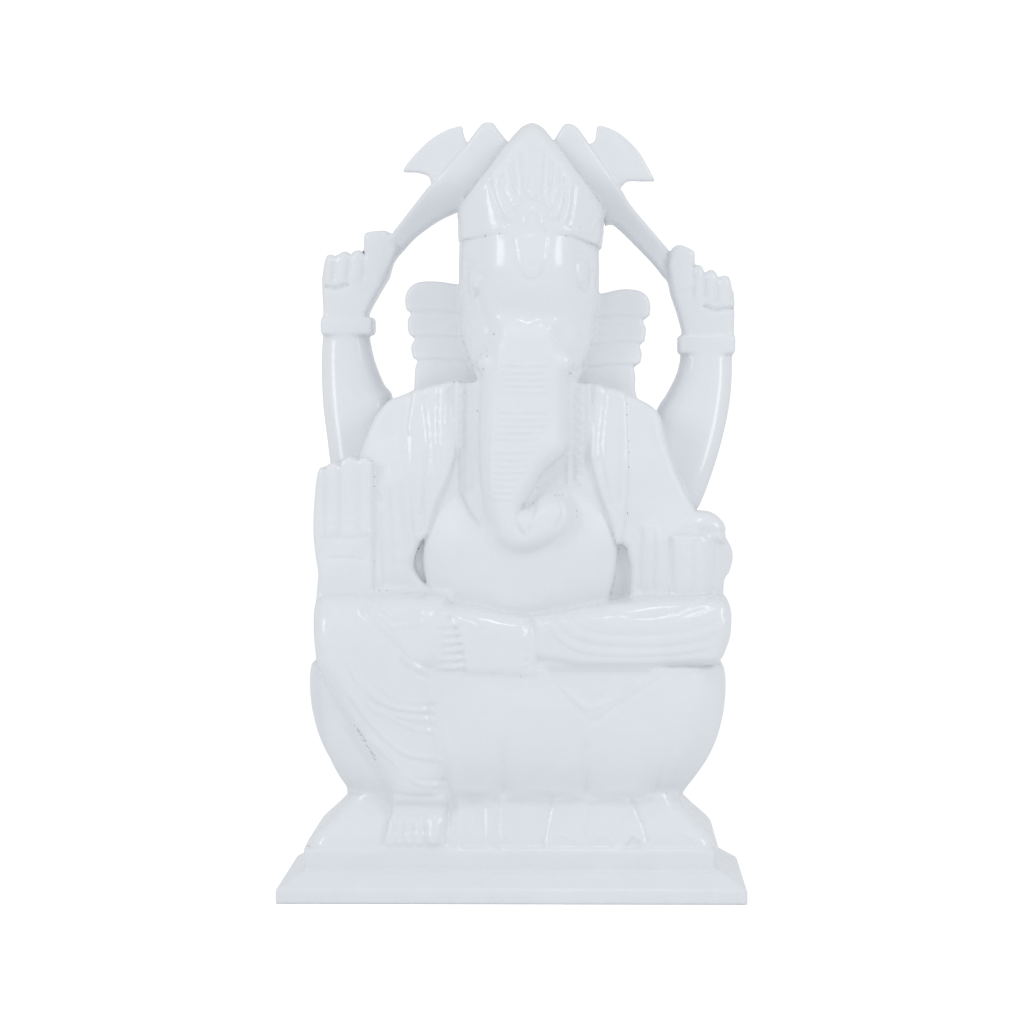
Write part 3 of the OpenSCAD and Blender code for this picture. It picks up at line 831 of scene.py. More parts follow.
def chest_form():
    form = Form("chest_panel", blend=0.6, crease=0.25)

    def front(x, z):
        rise = 3.2 * np.exp(-((x - 10.5) / 5.5) ** 2 - ((z - 116) / 6.5) ** 2)
        return np.minimum(body_front(z) + 1.2, belly_front(x, z) + 0.9) - rise

    panel = corners(-17.4, 151.6, -18, 119, -14.5, 111, 0, 101, 14, 104, 26.6, 114, 25.8, 122, 23.2, 132,
        23.2, 151.4)
    form.add(slab(front, 0, panel, 0.4), 0)
    strips = [(-13.6, 152, -13.7, 115), (17.6, 152, 17.8, 117), (21.4, 152, 21.4, 119)]
    form.carve(strips, 0.4, 0.3, -4)
    form.carve([(-16.2, 152, -16.2, 119), (16.4, 152, 16.4, 117)], 0.5, -0.6, -4)
    beads = [(19.5 + 0.5 * (-1) ** i, 149.6 - 1.5 * i, 19.5 + 0.5 * (-1) ** i,
        149.0 - 1.5 * i) for i in range(19)]
    beads += [(-14.9, 149.4 - 2.6 * i, -14.9, 148.2 - 2.6 * i) for i in range(7)]
    form.carve(beads, 0.6, -0.55, -4)
    return form


def shawl_form(name, edge, folds, ridges):
    form = Form(name, blend=2, crease=0.25)

    def front(x, z):
        return body_front(z) - 0.6

    form.add(slab(front, 2, edge, 1.2), 0)
    form.carve(folds, 0.6, 0.5, -4)
    form.carve(ridges, 1.1, -0.45, -4)
    return form


def shawl_forms():
    right = shawl_form("right_shawl_fall", smooth(-29.4, 149.2, -31.2, 136, -31, 118, -29.4, 108, -28.2, 104)
        + smooth(-25, 107, -22.4, 116, -19, 123.5, -16.6, 130) + corners(-16.8, 152.2),
        [(-26.8, 150, -25.6, 140, -24.6, 132, -25.8, 120, -26.2, 108), (-21.9, 150, -22.2, 142, -22, 134),
        (-30.6, 136, -30.6, 120, -29.6, 108), (-19.2, 149, -19.4, 140)], [(-27.6, 144, -26.4, 137, -27.4, 128,
        -27.6, 114), (-23.4, 149, -23.6, 138, -23, 124), (-20.4, 149, -20.6, 138, -20, 128)])
    left = shawl_form("left_shawl_fall", corners(22.4, 151.8) + smooth(22.6, 130, 25.2, 120.5, 28.4, 112,
        30.6, 104) + smooth(31.6, 104, 33.2, 112, 34, 126, 33.6, 140, 33, 148.4),
        [(27.4, 150, 26.6, 140, 25.8, 131, 28.6, 116), (31.8, 146, 31.2, 132, 31.4, 116)],
        [(25, 150, 24.6, 140, 24.4, 130), (28.9, 147, 27.6, 136, 28.6, 122)])
    return [right, left]


# ---------------------------------------------------------------- front arms

def sleeve_front(x, z):
    """The sleeves' front, which swells out towards both hands."""
    swell = smooth_step(-28, -41, x) * smooth_step(138, 120, z) + smooth_step(35, 46,
        x) * smooth_step(120, 104, z)
    return body_front(z) + 0.6 - 0.4 * smooth_step(112, 96, z) - 4.2 * swell


def right_arm_form():
    form = Form("front_right_arm", blend=1.5, crease=0.6, crease_width=0.7)
    sleeve = (smooth(-30, 148.9, -33.5, 147.6, -37, 146, -40.6, 141.4, -43.4, 135, -45.4, 128.6, -46.4, 120)
        + corners(-48, 108, -56, 106, -56, 84) + corners(-20, 84) + smooth(-23.8, 90.6, -27.4, 94, -29.2, 98,
        -27.6, 104, -26.4, 108) + smooth(-24, 112, -20, 122, -16.8, 130) + corners(-17, 151))
    form.add(slab(sleeve_front, 8, sleeve, 2), 0)
    form.carve([(-35.8, 136, -35.4, 120, -34, 98), (-38.4, 112, -38, 102, -37.2, 93)], 0.6, 0.3, -4)
    form.carve([(-33.4, 140, -33.4, 122, -32.4, 100), (-40, 120, -39.6, 106, -39, 93)], 1.2, -0.35, -4)
    form.carve([(-39.6, 119, -39.2, 117)], 1.3, 0.5, -10)
    return form


def blessing_hand_form():
    form = Form("blessing_hand", blend=1.2, crease=0.35, crease_width=0.5)
    hand = (smooth(-57.6, 85, -57.4, 90.4, -57, 95.6, -57.8, 101, -58.4, 108, -58.1, 117, -57.3, 124.4,
        -56.2, 126.8) + smooth(-54.9, 126.4, -54.4, 127.2, -52.6, 127.9, -50.9, 127.4) + smooth(-50.5, 128.4,
        -48, 129.6, -45.8, 129.2) + smooth(-45.2, 129, -43.2, 129.6, -41.2, 128.4) + corners(-40.9, 126,
        -40.7, 85))
    form.add(slab(-30, -2, hand, 1.2), 0)
    fingers = [(-54.9, 126.4, -55.1, 106.4), (-50.6, 127.8, -50.7, 106.2), (-45.4, 129.4, -45.3, 106)]
    form.carve(fingers, 0.45, 0.4, -20)
    form.carve([(-52.8, 126.5, -52.9, 108), (-48, 128, -48, 108), (-43.2, 128, -43.2, 108)], 1.6, -0.35, -20)
    form.carve([(-55.4, 106, -48, 105.8, -42.4, 106.4), (-54, 99.9, -49, 100.2, -44, 99.6)], 0.5, 0.35, -26)
    joints = [(x - 1.6, z, x + 1.6, z) for x in (-52.8, -48) for z in (109.8, 112.6)]
    form.carve(joints, 0.4, 0.22, -26)
    form.carve([(-42.6, 108.2, -41.4, 106.6, -42.4, 105.2)], 0.6, -0.4, -26)
    return form


def left_arm_form():
    form = Form("front_left_arm", blend=1.5, crease=0.6, crease_width=0.7)
    sleeve = (corners(23, 150.8) + smooth(29, 149.6, 36.2, 147.2, 42.8, 142.8, 45.2, 134, 48.6, 124,
        52.4, 116.6, 55, 112.6) + corners(56, 104, 56, 84) + corners(31, 84, 34.4, 89, 34.8, 97, 33.6, 102.8)
        + smooth(31.6, 104.6, 27.4, 114, 23.4, 127))
    form.add(slab(sleeve_front, 8, sleeve, 2), 0)
    form.carve([(41.4, 140, 43, 133, 41.6, 124, 41, 118)], 0.8, -0.4, -2)
    form.carve([(37.8, 108, 37.3, 100, 37.2, 91)], 0.7, 0.5, -12)
    form.carve([(41.4, 108, 41.4, 100, 41.2, 91)], 0.6, 0.3, -12)
    return form


def bowl_hand_form():
    form = Form("bowl_hand", blend=1, crease=0.35, crease_width=0.5)
    cup = (smooth(45.6, 86, 46.2, 98, 46.2, 106.6) + smooth(61, 107.4, 63.8, 104.4, 65, 100.4, 64, 96,
        62.4, 93.2, 62, 86))

    def front(x, z):
        return -30.0 + 0.04 * np.maximum(x - 50, 0) ** 2

    form.add(slab(front, -3, cup, 2.2), 0)
    form.carve([(47.2, 90, 46.9, 98, 46.8, 105), (53.8, 90, 53.7, 98, 53.6, 105.6), (58.6, 90, 59.4, 98,
        59.6, 105.8)], 0.5, 0.4, -12)
    form.carve([(50.3, 91, 50.3, 104), (56.4, 91, 56.6, 104)], 2, -0.3, -12)
    rim = (46.4, 106, 48.6, 106.8, 51, 106.4, 53.8, 106, 57, 106.9, 59.6, 106.2, 63, 105.4)
    form.carve([rim], 0.5, -0.5, -12)
    return form


def sweet_form():
    form = Form("sweet", blend=0.8, crease=0.4)
    dome = (smooth(46.2, 104, 46.4, 110.2, 49.4, 112, 53.4, 113.4, 58.2, 113.3, 61.6, 111, 62.8, 108,
        62.4, 104))
    form.add(slab(-27, -4, dome, 3.6), 0)
    form.carve([(50.5, 109.6, 54.5, 110.4, 58.5, 109.6)], 0.5, -0.3, -18)
    form.carve([(46, 107.9, 54, 108, 62.6, 107.6)], 0.5, 0.4, -18)
    return form


# ---------------------------------------------------------------- rear arms

def rear_arm_form(name, outline, side):
    form = Form(name, blend=0.8, crease=0.5)
    form.add(both(slab(-40, 60, outline, 1.8), across(-80, 80, side, 3), 7), 0)
    return form


def bracelet_form(name, x0, x1, z0, z1):
    form = Form(name, blend=1.2, crease=0.2, crease_width=0.5)
    form.add(block((x0, 1.4, z0), (x1, 20.8, z1), 1.2), 0)
    return form


def fist_form(name, body, thumb, knuckles, slit):
    """A closed hand on its handle. knuckles are the lines between the bent fingers."""
    form = Form(name, blend=0.8, crease=0.3)
    form.add(slab(2.2, 20, body, 1.8), 0)
    form.add(slab(1.8, 13, thumb, 1.4), 1)
    form.carve(knuckles, 0.5, 0.55, 30)
    form.carve(between(knuckles), 1.2, -0.35, 8)
    form.carve([slit], 0.5, 1.1, 8)
    return form


def fist_forms():
    right = fist_form("rear_right_fist", smooth(-57.4, 167, -57.4, 171, -57.8, 180, -57.7, 186.6,
        -56.6, 189.4, -53.8, 190.2) + smooth(-52.9, 190, -51, 190.9, -49.3, 190.6) + smooth(-48.9, 190.9,
        -46.4, 191.2, -44.6, 190) + corners(-40, 190, -37, 187.2) + smooth(-38, 183.4, -41.8, 177,
        -44.6, 171.4, -44.8, 167), smooth(-45.8, 186, -45.2, 192, -45, 196, -43.6, 196.9, -39.2, 197.3,
        -37, 196.4) + corners(-34.6, 192, -37.2, 186, -41, 182), [(-57.2, 184, -57, 189),
        (-54.4, 182.4, -54, 190), (-50.2, 182.4, -49.1, 190.6), (-45.4, 183, -44.9, 190.6)],
        (-56.6, 180.4, -53.6, 180, -50, 181))
    left = fist_form("rear_left_fist", smooth(51, 161.6, 50.8, 165.6, 49.2, 172, 47.2, 178, 46.2, 182.6)
        + corners(49, 187.2) + smooth(53.4, 186.6, 55.4, 186.8, 57, 185.6) + smooth(57.4, 185, 59.4, 185.2,
        61.2, 184) + smooth(61.6, 183.6, 64.2, 183.2, 65.8, 180.4, 66.2, 176, 66, 165.6, 65.6, 161.6),
        smooth(46, 186, 46.8, 190.6, 48.2, 192.5, 50, 192.9, 52.8, 191.8, 54.2, 190.8) + corners(54.2, 186.6,
        54, 180, 48, 178), [(53.4, 177.4, 54, 186.4), (56.8, 176.4, 57.3, 185.8), (60.6, 175.6, 61.4, 184.4),
        (65.2, 176, 65.6, 182)], (57, 174.4, 60.6, 173.4, 65.4, 174))
    return [right, left]


def axe_front(x, z):
    """The handles come forward as they rise from the fists to the crown."""
    return 4.0 - 14.0 * smooth_step(188, 214, z)


def handle_form(name, points):
    def back(x, z):
        return axe_front(x, z) + 8.6

    return Form(name, blend=0.8, crease=0.4, crease_width=0.6).add(slab(axe_front, back, points, 1.6), 0)


def blade_form(name, points):
    form = Form(name, blend=0.5, crease=0.3)

    def front(x, z):
        return axe_front(x, z) + 1.4

    def back(x, z):
        return axe_front(x, z) + 6.2

    return form.add(slab(front, back, points, 0.7), 0)


def axe_forms():
    right_handle = (corners(-47, 186.6, -41.5, 191.6) + smooth(-37.4, 195.6, -31, 203.2, -24.2, 211.3,
        -13.8, 223, -10.2, 227.6) + smooth(-9.2, 228.7, -7.6, 229, -5.9, 228.6, -4.6, 226.8, -1.4, 222.8)
        + corners(-8, 213, -16.4, 202.8) + smooth(-17.8, 202.3, -22, 200.4, -26.2, 197.8, -30.8, 194.2,
        -36.3, 187.8, -40, 182))
    left_handle = (corners(53.6, 183) + smooth(45.8, 192.2, 41.3, 197.3, 34.6, 205, 31.8, 209.6, 23.8, 221)
        + smooth(19.2, 227.2, 17.6, 228.3, 16, 228.6, 14.8, 228, 13.6, 226.2, 11.4, 222.4)
        + corners(19.4, 212.4, 26.8, 202.4) + smooth(27.2, 198.5, 29, 199, 31, 197.9, 36.4, 192.8, 42, 187,
        47.4, 180))
    right_blade = (smooth(-33.2, 214.3, -31, 217.6, -25.7, 223.1, -20.4, 226.5, -16.2, 227.9)
        + smooth(-15.2, 227.8, -14.9, 225.4, -13.6, 222.6) + corners(-11.5, 219, -21, 207.5)
        + smooth(-24.4, 210.8, -25.6, 213.2, -29, 214.2))
    left_blade = (smooth(24.9, 227.9, 27.2, 227.7, 31.6, 225.6, 36.8, 220.8, 40.2, 215.2, 42.2, 211.5)
        + smooth(38, 211.5, 34, 211.5, 32.2, 210) + corners(29.5, 206.6, 20, 219) + smooth(22.6, 222.4,
        24.2, 223.6, 24.6, 226))
    return [handle_form("right_axe_handle", right_handle), handle_form("left_axe_handle", left_handle),
        blade_form("right_axe_blade", right_blade), blade_form("left_axe_blade", left_blade)]


# ---------------------------------------------------------------- head

def head_form():
    form = Form("head", blend=1.5, crease=0.3)
    front_view = (smooth(-15.8, 206, -16.4, 196, -16.5, 184, -16.2, 172, -15.2, 163.5, -13.2, 157.6,
        -9.5, 153, -7, 149) + smooth(17, 149, 19.5, 153, 22, 158.4, 23.9, 165, 25.2, 178, 25.8, 196, 25, 206))
    side_view = (smooth(12, 206, 18, 196, 19, 180, 18, 165, 13, 150, 12, 146) + smooth(-16, 146, -21, 152,
        -24.8, 160, -26.8, 168, -28.8, 180, -29.6, 188, -28.6, 196, -24, 206))
    plan = ovoid((4.7, -5, 172), (21.6, 25, 130))
    form.add(both(both(slab(-60, 60, front_view, 3), across(-60, 60, side_view, 4), 3), plan, 3), 0)
    form.add(ovoid((4.7, -9, 184), (17.5, 21.6, 15)), 9)
    form.add(ovoid((4.2, -17, 160), (13, 11, 15)), 6)
    tilak = (0.5, 193.5, 1.4, 188, 2.6, 183.6, 5.2, 181.4, 8.2, 182.4, 10, 187, 11.2, 193.5)
    form.carve([tilak], 0.55, 0.45, -14)
    form.carve([(5.4, 191, 5.4, 186)], 0.5, 0.25, -14)
    for x, z, slant in ((-11.2, 180.2, -1.2), (20.8, 182.6, 1.2)):
        lid = curve(corners(x - 1.9, z + 5.4, x + 1.7, z + 3.6, x + 2.2, z - 0.6, x + slant, z - 5.4), 6)
        lower = curve(corners(x - 1.9, z + 5.4, x - 2.4, z + 1, x - 1.8, z - 2.6, x + slant, z - 5.4), 6)
        form.carve([[value for point in edge[::3] for value in point] for edge in (lid, lower)], 0.5, 0.5, -4)
        form.carve([(x, z + 0.9, x + 0.1, z - 0.7)], 0.9, -0.55, -4)
        form.carve([(x - 2.6, z + 7.2, x + 1.6, z + 5.6, x + 3.6, z + 1.6)], 0.5, 0.35, -4)
    form.carve([(-14.9, 163, -13.2, 158.6, -10, 154.6), (24, 163, 21.9, 158.6, 19, 154.8)], 0.6, 0.6, -8)
    form.carve([(-10.6, 178.5, -8, 172, -6.8, 166.4)], 0.7, 0.5, -10)
    form.add(ovoid((0, -27.4, 166.2), (2.4, 1.8, 2.2)), 2.5)
    form.add(ovoid((9.2, -27.4, 166.6), (2.4, 1.8, 2.2)), 2.5)
    return form


def tusk_form(name, x):
    form = Form(name, blend=1.2, crease=0.25, crease_width=0.5)
    form.add(rod((x, -22, 158.4), (x, -25.6, 157.6), 2.9, 2.5), 0)
    return form


def mouth_slots():
    return [block((-10.4, -40, 151.9), (-5.4, -24, 153.1), 0.5), block((12.4, -40, 151.7), (17.4, -24, 152.9),
        0.5)]


def trunk_form():
    form = Form("trunk", blend=4, crease=0.45)

    def front(x, z):
        return -31.6 - 2.6 * smooth_step(150, 116, z) + 0.012 * (x - 3.0 + 0.05 * (z - 116)) ** 2

    outline = (smooth(-3.5, 169, -7.5, 158, -9, 151.3, -9.6, 139.6, -9.5, 127.9, -8.3, 116.3, -7.1, 110.4,
        -4.8, 104.8, -0.4, 102.3, 3.4, 101.8, 8.1, 102.9, 12.8, 105, 16.4, 108.1, 18.1, 111.6, 17.4, 115,
        15.6, 117.2) + smooth(14, 117.6, 11.6, 117.4, 7.7, 116.5, 4.8, 114.6) + smooth(3.6, 115.4, 5.4, 119.2,
        8.4, 124.6, 12, 128, 15.6, 131.6, 16.4, 137, 16.4, 151.3, 15.8, 158, 12, 169))
    form.add(slab(front, -12, outline, 5), 0)
    ridges = []
    for i in range(21):
        z = 156.8 - 1.95 * i
        left = -2.8 - 2.2 * smooth_step(146, 132, z)
        right = 9.8 - 4.8 * smooth_step(140, 130, z) - 5.6 * smooth_step(130, 118, z)
        if i in (5, 6, 12):
            continue
        ridges.append((left, z, (left + right) / 2, z - 0.2, right, z))
    form.carve(ridges, 0.4, -0.28, -24)
    form.carve(lowered(ridges, 0.95), 0.45, 0.16, -24)
    form.carve([(-3.6, 162, -4.8, 145, -6, 130, -6.2, 118)], 0.6, -0.25, -24)
    form.carve([(3, 115.2, 1.6, 112.6, 1.8, 109.2, 3.4, 107)], 0.7, 0.9, -24)
    form.carve([(6.9, 116.4, 5.9, 112, 5.4, 108)], 0.5, 0.8, -24)
    form.carve([(14.2, 116.4, 14.8, 112.6, 12.8, 109.4)], 0.7, 0.4, -24)
    return form


def ear_form(name, inner_x, edge, notches, side):
    """A fan-shaped ear of four lobes. edge runs from the top down, notches are the heights between lobes."""
    form = Form(name, blend=1, crease=0.3)
    form.add(slab(lambda x, z: -7.0 - 5.0 * smooth_step(172, 150, z), 8.5, corners(inner_x, edge[0][1])
        + edge + corners(inner_x, edge[-1][1]), 1.2), 0)
    root, reach = inner_x + side * 8, inner_x + side * 27
    lines = [(root, z - 0.3, (root + reach) / 2, z + 0.5, reach, z) for z in notches]
    form.carve(lines, 0.45, 0.4, 0)
    form.carve(lowered(lines, -1), 0.6, -0.25, 0)
    return form


def ear_forms():
    right = ear_form("right_ear", -6, smooth(-14, 180.4, -16.3, 180.8, -22.1, 181.7, -27.5, 181.7,
        -30.6, 180.4, -32.2, 177.8, -32.3, 174.6, -31.2, 172.6) + smooth(-30.9, 171.8, -31.6, 170.2,
        -31.5, 167.2, -30.3, 165.2) + smooth(-29.6, 164.4, -30.5, 162.4, -30.2, 160, -29, 158.2)
        + smooth(-28.8, 157.4, -29.3, 155.4, -29.4, 152, -29.6, 148), (172.2, 164.8, 157.8), -1)
    left = ear_form("left_ear", 14, smooth(24, 178.2, 26.5, 178.2, 32, 179.4, 37, 179.1, 39.8, 177.4,
        40.8, 174.4, 40.4, 171.8, 38.6, 170.2) + smooth(38.8, 169.4, 39.5, 167.4, 39, 164.4, 37.6, 162.6)
        + smooth(37.7, 162, 38.2, 160, 37.6, 157.6, 35.9, 156.2) + smooth(35.9, 155.4, 36.3, 153, 36.2, 149.6,
        37, 146), (170.6, 162.9, 156.2), 1)
    return [right, left]


def crown_body(grow):
    """The crown's whole shape, grown a little for what is raised on it."""
    arch = (smooth(-16.4, 188, -16.6, 196, -16.8, 203.4, -12.6, 208, -7, 215, -2.6, 221.4)
        + smooth(-0.6, 224.4, 2.4, 228, 5.4, 229.7, 8.4, 228, 11.4, 224.2) + smooth(13.4, 221.4, 18, 214.8,
        23.2, 208.2, 27.4, 203, 27.4, 199.4, 25.7, 188))
    side = (smooth(19, 188, 19.6, 199, 17, 208, 11, 219, 4, 227.6, -1, 230.4) + smooth(-6, 230.4,
        -12.6, 226.4, -20, 219, -25.4, 210, -28.2, 202, -29.4, 195, -29.8, 188))
    body = both(both(slab(-60, 60, arch, 1.2), across(-60, 60, side, 2), 4), ovoid((5, -5, 188),
        (23.4, 25.6, 76)), 3)
    return Solid(body.low, body.high, lambda x, y, z: body.distance(x, y, z) - grow)


def crown_band_form():
    form = Form("crown_band", blend=0.8, crease=0.25, crease_width=0.45)
    band = corners(-20, 197, -20, 193.2, -11.7, 194.2, -4.5, 195.1, 3.7, 195.9, 10, 195.5, 18.2, 194.4,
        24.5, 192.2, 30, 188.6, 30, 197)
    return form.add(both(crown_body(0.1), slab(-60, 60, band, 0.2), 0.3), 0)


def crown_form():
    form = Form("crown", blend=0.6, crease=0.1)
    form.add(both(crown_body(0), block((-40, -60, 195.4), (50, 60, 240), 0.2), 0.2), 0)
    flutes = [(-6.8, 211.2, -5, 204.3, -1.4, 196.6), (-3.6, 212.8, -2.5, 208, -0.4, 203.6),
        (-0.6, 216.4, 0.3, 210.6, 1.6, 206.2), (2.5, 220.4, 3.2, 213, 3.7, 207.4), (8.8, 220.4, 8.6, 213,
        8, 207.4), (11.4, 216.6, 11.1, 210.6, 10.2, 206), (13.6, 214.6, 13.4, 208, 11.8, 202.6),
        (15.6, 212, 15.3, 204.3, 13.4, 198), (18, 208.5, 17.6, 203, 16.6, 198.6)]
    form.carve(flutes, 0.45, 0.42, -6)
    form.carve(between(flutes), 1, -0.4, -6)
    form.carve([(5.9, 223, 5.7, 215, 5.7, 208)], 0.4, -0.3, -6)
    edge = [(-16.4, 201.2, -10.4, 207.2, -5.4, 213.4, -0.8, 219.6, 2.6, 224), (8.4, 224, 12, 219.2,
        16.6, 212.6, 21.8, 206.2, 25.8, 201.2)]
    form.carve(edge, 0.5, -0.2, -2)
    form.carve([(9.1, 197.6, 13.7, 196.6, 21.8, 196, 23.6, 197.6, 25.6, 200.6), (-1.4, 196.4, -4, 197.2,
        -6, 196.6)], 0.5, -0.4, -2)
    return form


def medallion_form():
    form = Form("crown_medallion", blend=0.4, crease=0.1)

    def arc(cx, cz, rx, rz, step):
        turns = [math.radians(a) for a in range(0, 181, step)]
        return [value for t in turns for value in (cx + rx * math.cos(t), cz + rz * math.sin(t))]

    form.add(both(crown_body(0.12), slab(-60, -10, corners(*arc(5.6, 196.8, 6.4, 9.6, 12)), 0.2), 0.3), 0)
    form.carve([arc(5.6, 199.6, 5.7, 6.3, 20), arc(5.9, 198.2, 2.2, 3.8, 30)], 0.45, -0.5, -10)
    form.carve([arc(5.7, 199, 4.2, 4.6, 20)], 0.8, 0.2, -10)
    return form


def sculpt():
    """Builds the stone form by form, from the ground up and from back to front."""
    stone = Block((-71, -46.5, -1.6), (71, 46.5, 230.5), STEP)
    for form in (plinth_form(), step_form(), lower_lotus_form(), upper_lotus_form(), torso_form(),
        hips_form()):
        stone.place(form)
    right_rear = (smooth(-57.4, 172, -57.8, 166, -58.2, 158, -57.6, 146, -56.2, 136, -54.6, 126, -51.6, 116,
        -46.6, 107, -41, 103) + smooth(-40, 112, -40.4, 130, -37, 146, -39.8, 151.5, -42.5, 158.5, -44, 166,
        -44.4, 172))
    left_rear = (smooth(65.8, 167, 65.6, 160, 65.4, 152, 64.3, 143, 61.5, 131.5, 57.4, 119.5, 54, 112,
        50, 104, 44, 99) + smooth(40, 104, 40, 128, 42.6, 142.2, 46.2, 148.6, 49, 154.4, 50.2, 160,
        50.6, 167))
    rear_side = (smooth(2.2, 173, 1.4, 162, -1.6, 150, -6, 138, -11, 124, -14, 108, -14, 100)
        + smooth(9, 98, 15, 112, 20, 126, 22, 138, 21.6, 152, 20.6, 162, 20.2, 173))
    stone.place(rear_arm_form("rear_right_arm", right_rear, rear_side))
    stone.place(rear_arm_form("rear_left_arm", left_rear, rear_side))
    for form in (right_arm_form(), left_arm_form(), *shawl_forms()):
        stone.place(form)
    for form in (chest_form(), belly_form(), hanging_leg_form(), folded_foot_form(), ankle_cuff_form(),
        folded_leg_form(), right_foot_form(), blessing_hand_form(), bowl_hand_form(), sweet_form()):
        stone.place(form)
    for form in ear_forms():
        stone.place(form)
    stone.place(head_form())
    for hollow in mouth_slots():
        stone.hollow(hollow)
    for form in (tusk_form("right_tusk", -7.6), tusk_form("left_tusk", 15.4), trunk_form(), crown_band_form(),
        crown_form(), medallion_form(), *axe_forms()):
        stone.place(form)
    for form in fist_forms():
        stone.place(form)
    stone.place(bracelet_form("right_bracelet", -58.2, -42.4, 165.9, 171.4))
    stone.place(bracelet_form("left_bracelet", 49.2, 66.4, 160.2, 165.9))
    return stone


# ---------------------------------------------------------------- materials

def marble(name, roughness, grain):
    """White marble: faint grey clouds and veins, a polish that varies a little, and fine crystal grain."""
    material = bpy.data.materials.new(name)
    material.use_nodes = True
    nodes, links = material.node_tree.nodes, material.node_tree.links
    shader = nodes["Principled BSDF"]
    place = nodes.new("ShaderNodeTexCoord").outputs["Object"]

    def noise(scale, detail, distortion=0.0):
        node = nodes.new("ShaderNodeTexNoise")
        node.inputs["Scale"].default_value = scale
        node.inputs["Detail"].default_value = detail
        node.inputs["Distortion"].default_value = distortion
        links.new(place, node.inputs["Vector"])
        return node.outputs["Fac"]

    def ramp(value, stops):
        node = nodes.new("ShaderNodeValToRGB")
        while len(node.color_ramp.elements) < len(stops):
            node.color_ramp.elements.new(0.5)
        for element, (position, colour) in zip(node.color_ramp.elements, stops):
            element.position = position
            element.color = (*colour, 1)
        links.new(value, node.inputs["Fac"])
        return node.outputs["Color"]

    greys = [(0.2, (0.795, 0.816, 0.846)), (0.5, (0.815, 0.835, 0.864)), (0.85, (0.832, 0.849, 0.875))]
    clouds = ramp(noise(14, 4, 0.6), greys)
    veins = ramp(noise(26, 6, 1.8), [(0.36, (1, 1, 1)), (0.5, (0.972, 0.974, 0.977)), (0.64, (1, 1, 1))])
    mixed = nodes.new("ShaderNodeMix")
    mixed.data_type, mixed.blend_type = "RGBA", "MULTIPLY"
    mixed.inputs["Factor"].default_value = 0.6
    links.new(clouds, mixed.inputs["A"])
    links.new(veins, mixed.inputs["B"])
    links.new(mixed.outputs["Result"], shader.inputs["Base Color"])
    polish = nodes.new("ShaderNodeMapRange")
    polish.inputs["To Min"].default_value = roughness - 0.04
    polish.inputs["To Max"].default_value = roughness + 0.06
    links.new(noise(60, 3), polish.inputs["Value"])
    links.new(polish.outputs["Result"], shader.inputs["Roughness"])
    bump = nodes.new("ShaderNodeBump")
    bump.inputs["Strength"].default_value = grain
    bump.inputs["Distance"].default_value = 0.0004
    links.new(noise(500, 3), bump.inputs["Height"])
    links.new(bump.outputs["Normal"], shader.inputs["Normal"])
    shader.inputs["IOR"].default_value = 1.49
    shader.inputs["Specular IOR Level"].default_value = 0.5
    return material


# ---------------------------------------------------------------- stage

def area_light(name, place, target, size, power):
    data = bpy.data.lights.new(name, "AREA")
    data.shape = "RECTANGLE"
    data.size, data.size_y = size
    data.energy = power
    lamp = bpy.data.objects.new(name, data)
    bpy.context.scene.collection.objects.link(lamp)
    aim(lamp, place, target)


def aim(thing, place, target):
    thing.location = place
    thing.rotation_euler = (Vector(target) - Vector(place)).to_track_quat("-Z", "Y").to_euler()


def stage():
    """A plain white floor. It looks pure white away from the idol's contact shadow."""
    material = bpy.data.materials.new("pale_floor")
    material.use_nodes = True
    nodes, links = material.node_tree.nodes, material.node_tree.links
    matte = nodes["Principled BSDF"]
    matte.inputs["Base Color"].default_value = (0.93, 0.93, 0.93, 1)
    matte.inputs["Roughness"].default_value = 0.9
    seen = nodes.new("ShaderNodeBsdfDiffuse")
    seen.inputs["Color"].default_value = (1.42, 1.42, 1.42, 1)
    choice = nodes.new("ShaderNodeMixShader")
    links.new(nodes.new("ShaderNodeLightPath").outputs["Is Camera Ray"], choice.inputs["Fac"])
    links.new(matte.outputs["BSDF"], choice.inputs[1])
    links.new(seen.outputs["BSDF"], choice.inputs[2])
    links.new(choice.outputs["Shader"], nodes["Material Output"].inputs["Surface"])
    mesh = bpy.data.meshes.new("floor")
    reach = 4.0
    square = [(-reach, -reach, 0), (reach, -reach, 0), (reach, reach, 0), (-reach, reach, 0)]
    mesh.from_pydata(square, [], [(0, 1, 2, 3)])
    floor = bpy.data.objects.new("floor", mesh)
    mesh.materials.append(material)
    bpy.context.scene.collection.objects.link(floor)
    bpy.context.scene.world = white_studio()
    bpy.context.scene.view_settings.view_transform = "Standard"
    area_light("left_softbox", (-0.74, -0.66, 0.56), (0, 0, 0.14), (0.26, 0.45), 1.5)
    area_light("right_softbox", (0.78, -0.62, 0.58), (0, 0, 0.14), (0.26, 0.45), 1.5)
    area_light("top_lamp", (0.03, -0.62, 0.98), (0, 0, 0.1), (0.04, 0.04), 0.28)


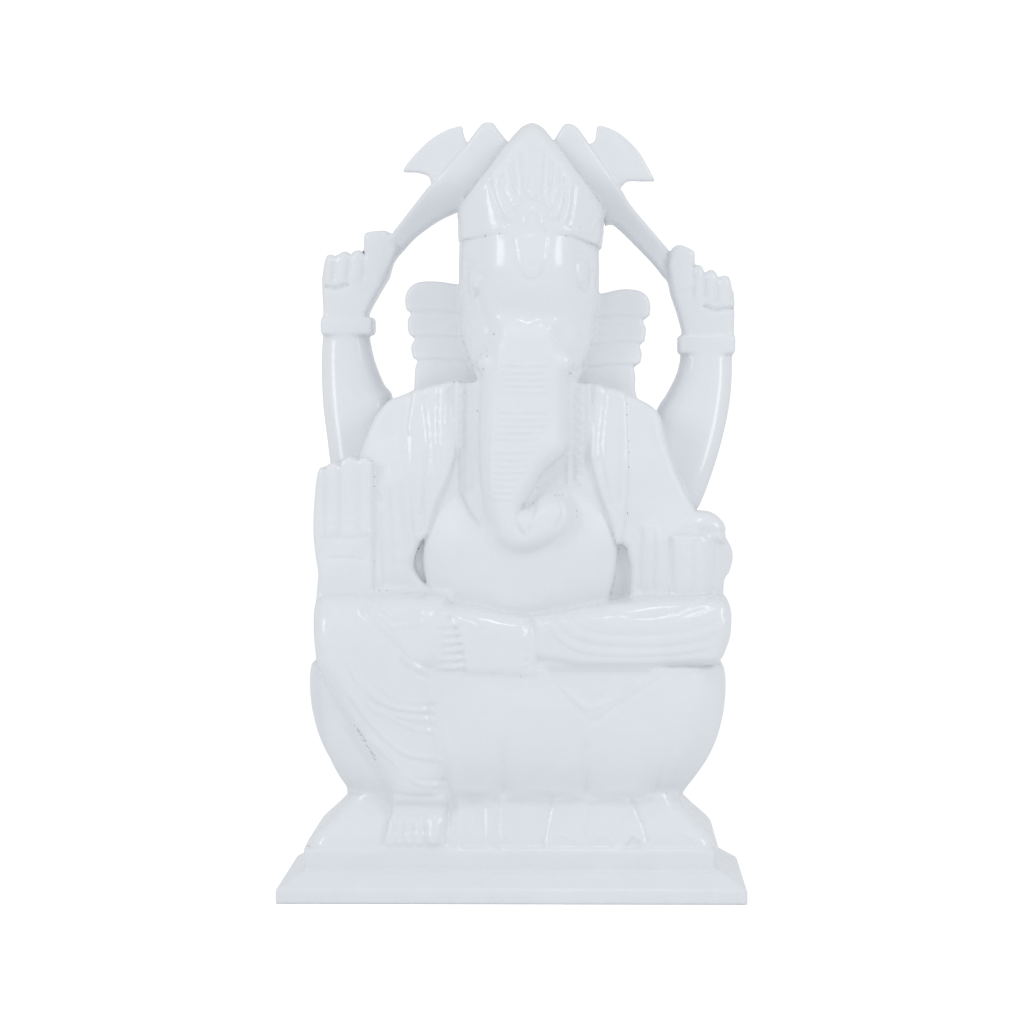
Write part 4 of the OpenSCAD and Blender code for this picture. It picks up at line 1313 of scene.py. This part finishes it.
def white_studio():
    """A soft white surround. It looks pure white behind the idol and lights it a little less strongly."""
    world = bpy.data.worlds.new("white_studio")
    world.use_nodes = True
    nodes, links = world.node_tree.nodes, world.node_tree.links
    soft = nodes["Background"]
    soft.inputs["Color"].default_value = (0.95, 0.975, 1, 1)
    soft.inputs["Strength"].default_value = 0.742
    seen = nodes.new("ShaderNodeBackground")
    seen.inputs["Color"].default_value = (1, 1, 1, 1)
    seen.inputs["Strength"].default_value = 1.1
    choice = nodes.new("ShaderNodeMixShader")
    links.new(nodes.new("ShaderNodeLightPath").outputs["Is Camera Ray"], choice.inputs["Fac"])
    links.new(soft.outputs["Background"], choice.inputs[1])
    links.new(seen.outputs["Background"], choice.inputs[2])
    links.new(choice.outputs["Shader"], nodes["World Output"].inputs["Surface"])
    return world


def camera():
    data = bpy.data.cameras.new("camera")
    data.sensor_width = 36
    data.lens = 148.5
    data.clip_end = 20
    thing = bpy.data.objects.new("camera", data)
    bpy.context.scene.collection.objects.link(thing)
    aim(thing, (0.023, -1.267, 0.149), (-0.0006, 0.0, 0.1128))
    bpy.context.scene.camera = thing


# ---------------------------------------------------------------- assembly

stone = sculpt()
vertices, outside, faces = mesh_block(stone)
skin = np.concatenate([quads[outside[quads].all(1)] for quads in faces.values()])
for _ in range(2):
    vertices = settle(stone, (vertices + middles(vertices, skin)) / 2, outside)
vertices = unfold(vertices, skin)
stand_in = gather(stone, vertices, outside)
normals = outer_normals(vertices, skin)
polished = marble("polished_marble", 0.16, 0.04)
satin = marble("satin_marble", 0.38, 0.08)
tooled = marble("tooled_marble", 0.5, 0.5)
softly_polished = ("belly", "trunk", "upper_lotus", "right_ear", "left_ear", "torso",
                   "front_right_arm", "front_left_arm")
slots = {s["node"]: s["material_slot"] for s in frame["record"]["subparts"]}
owners = {}
for number, name in enumerate(stone.names):
    if name:
        owners.setdefault(name, []).append(number)
for name, numbers in owners.items():
    quads, triangles = lighten(np.concatenate([faces[n] for n in numbers if n in faces]), stand_in)
    piece = piece_from(name + "_marble", vertices, normals, quads, triangles)
    finish = satin if name in softly_polished else polished
    piece.data.materials.append(tooled if slots[name] == "tooled_marble" else finish)
    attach(piece, "root")
    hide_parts(name)
stage()
camera()
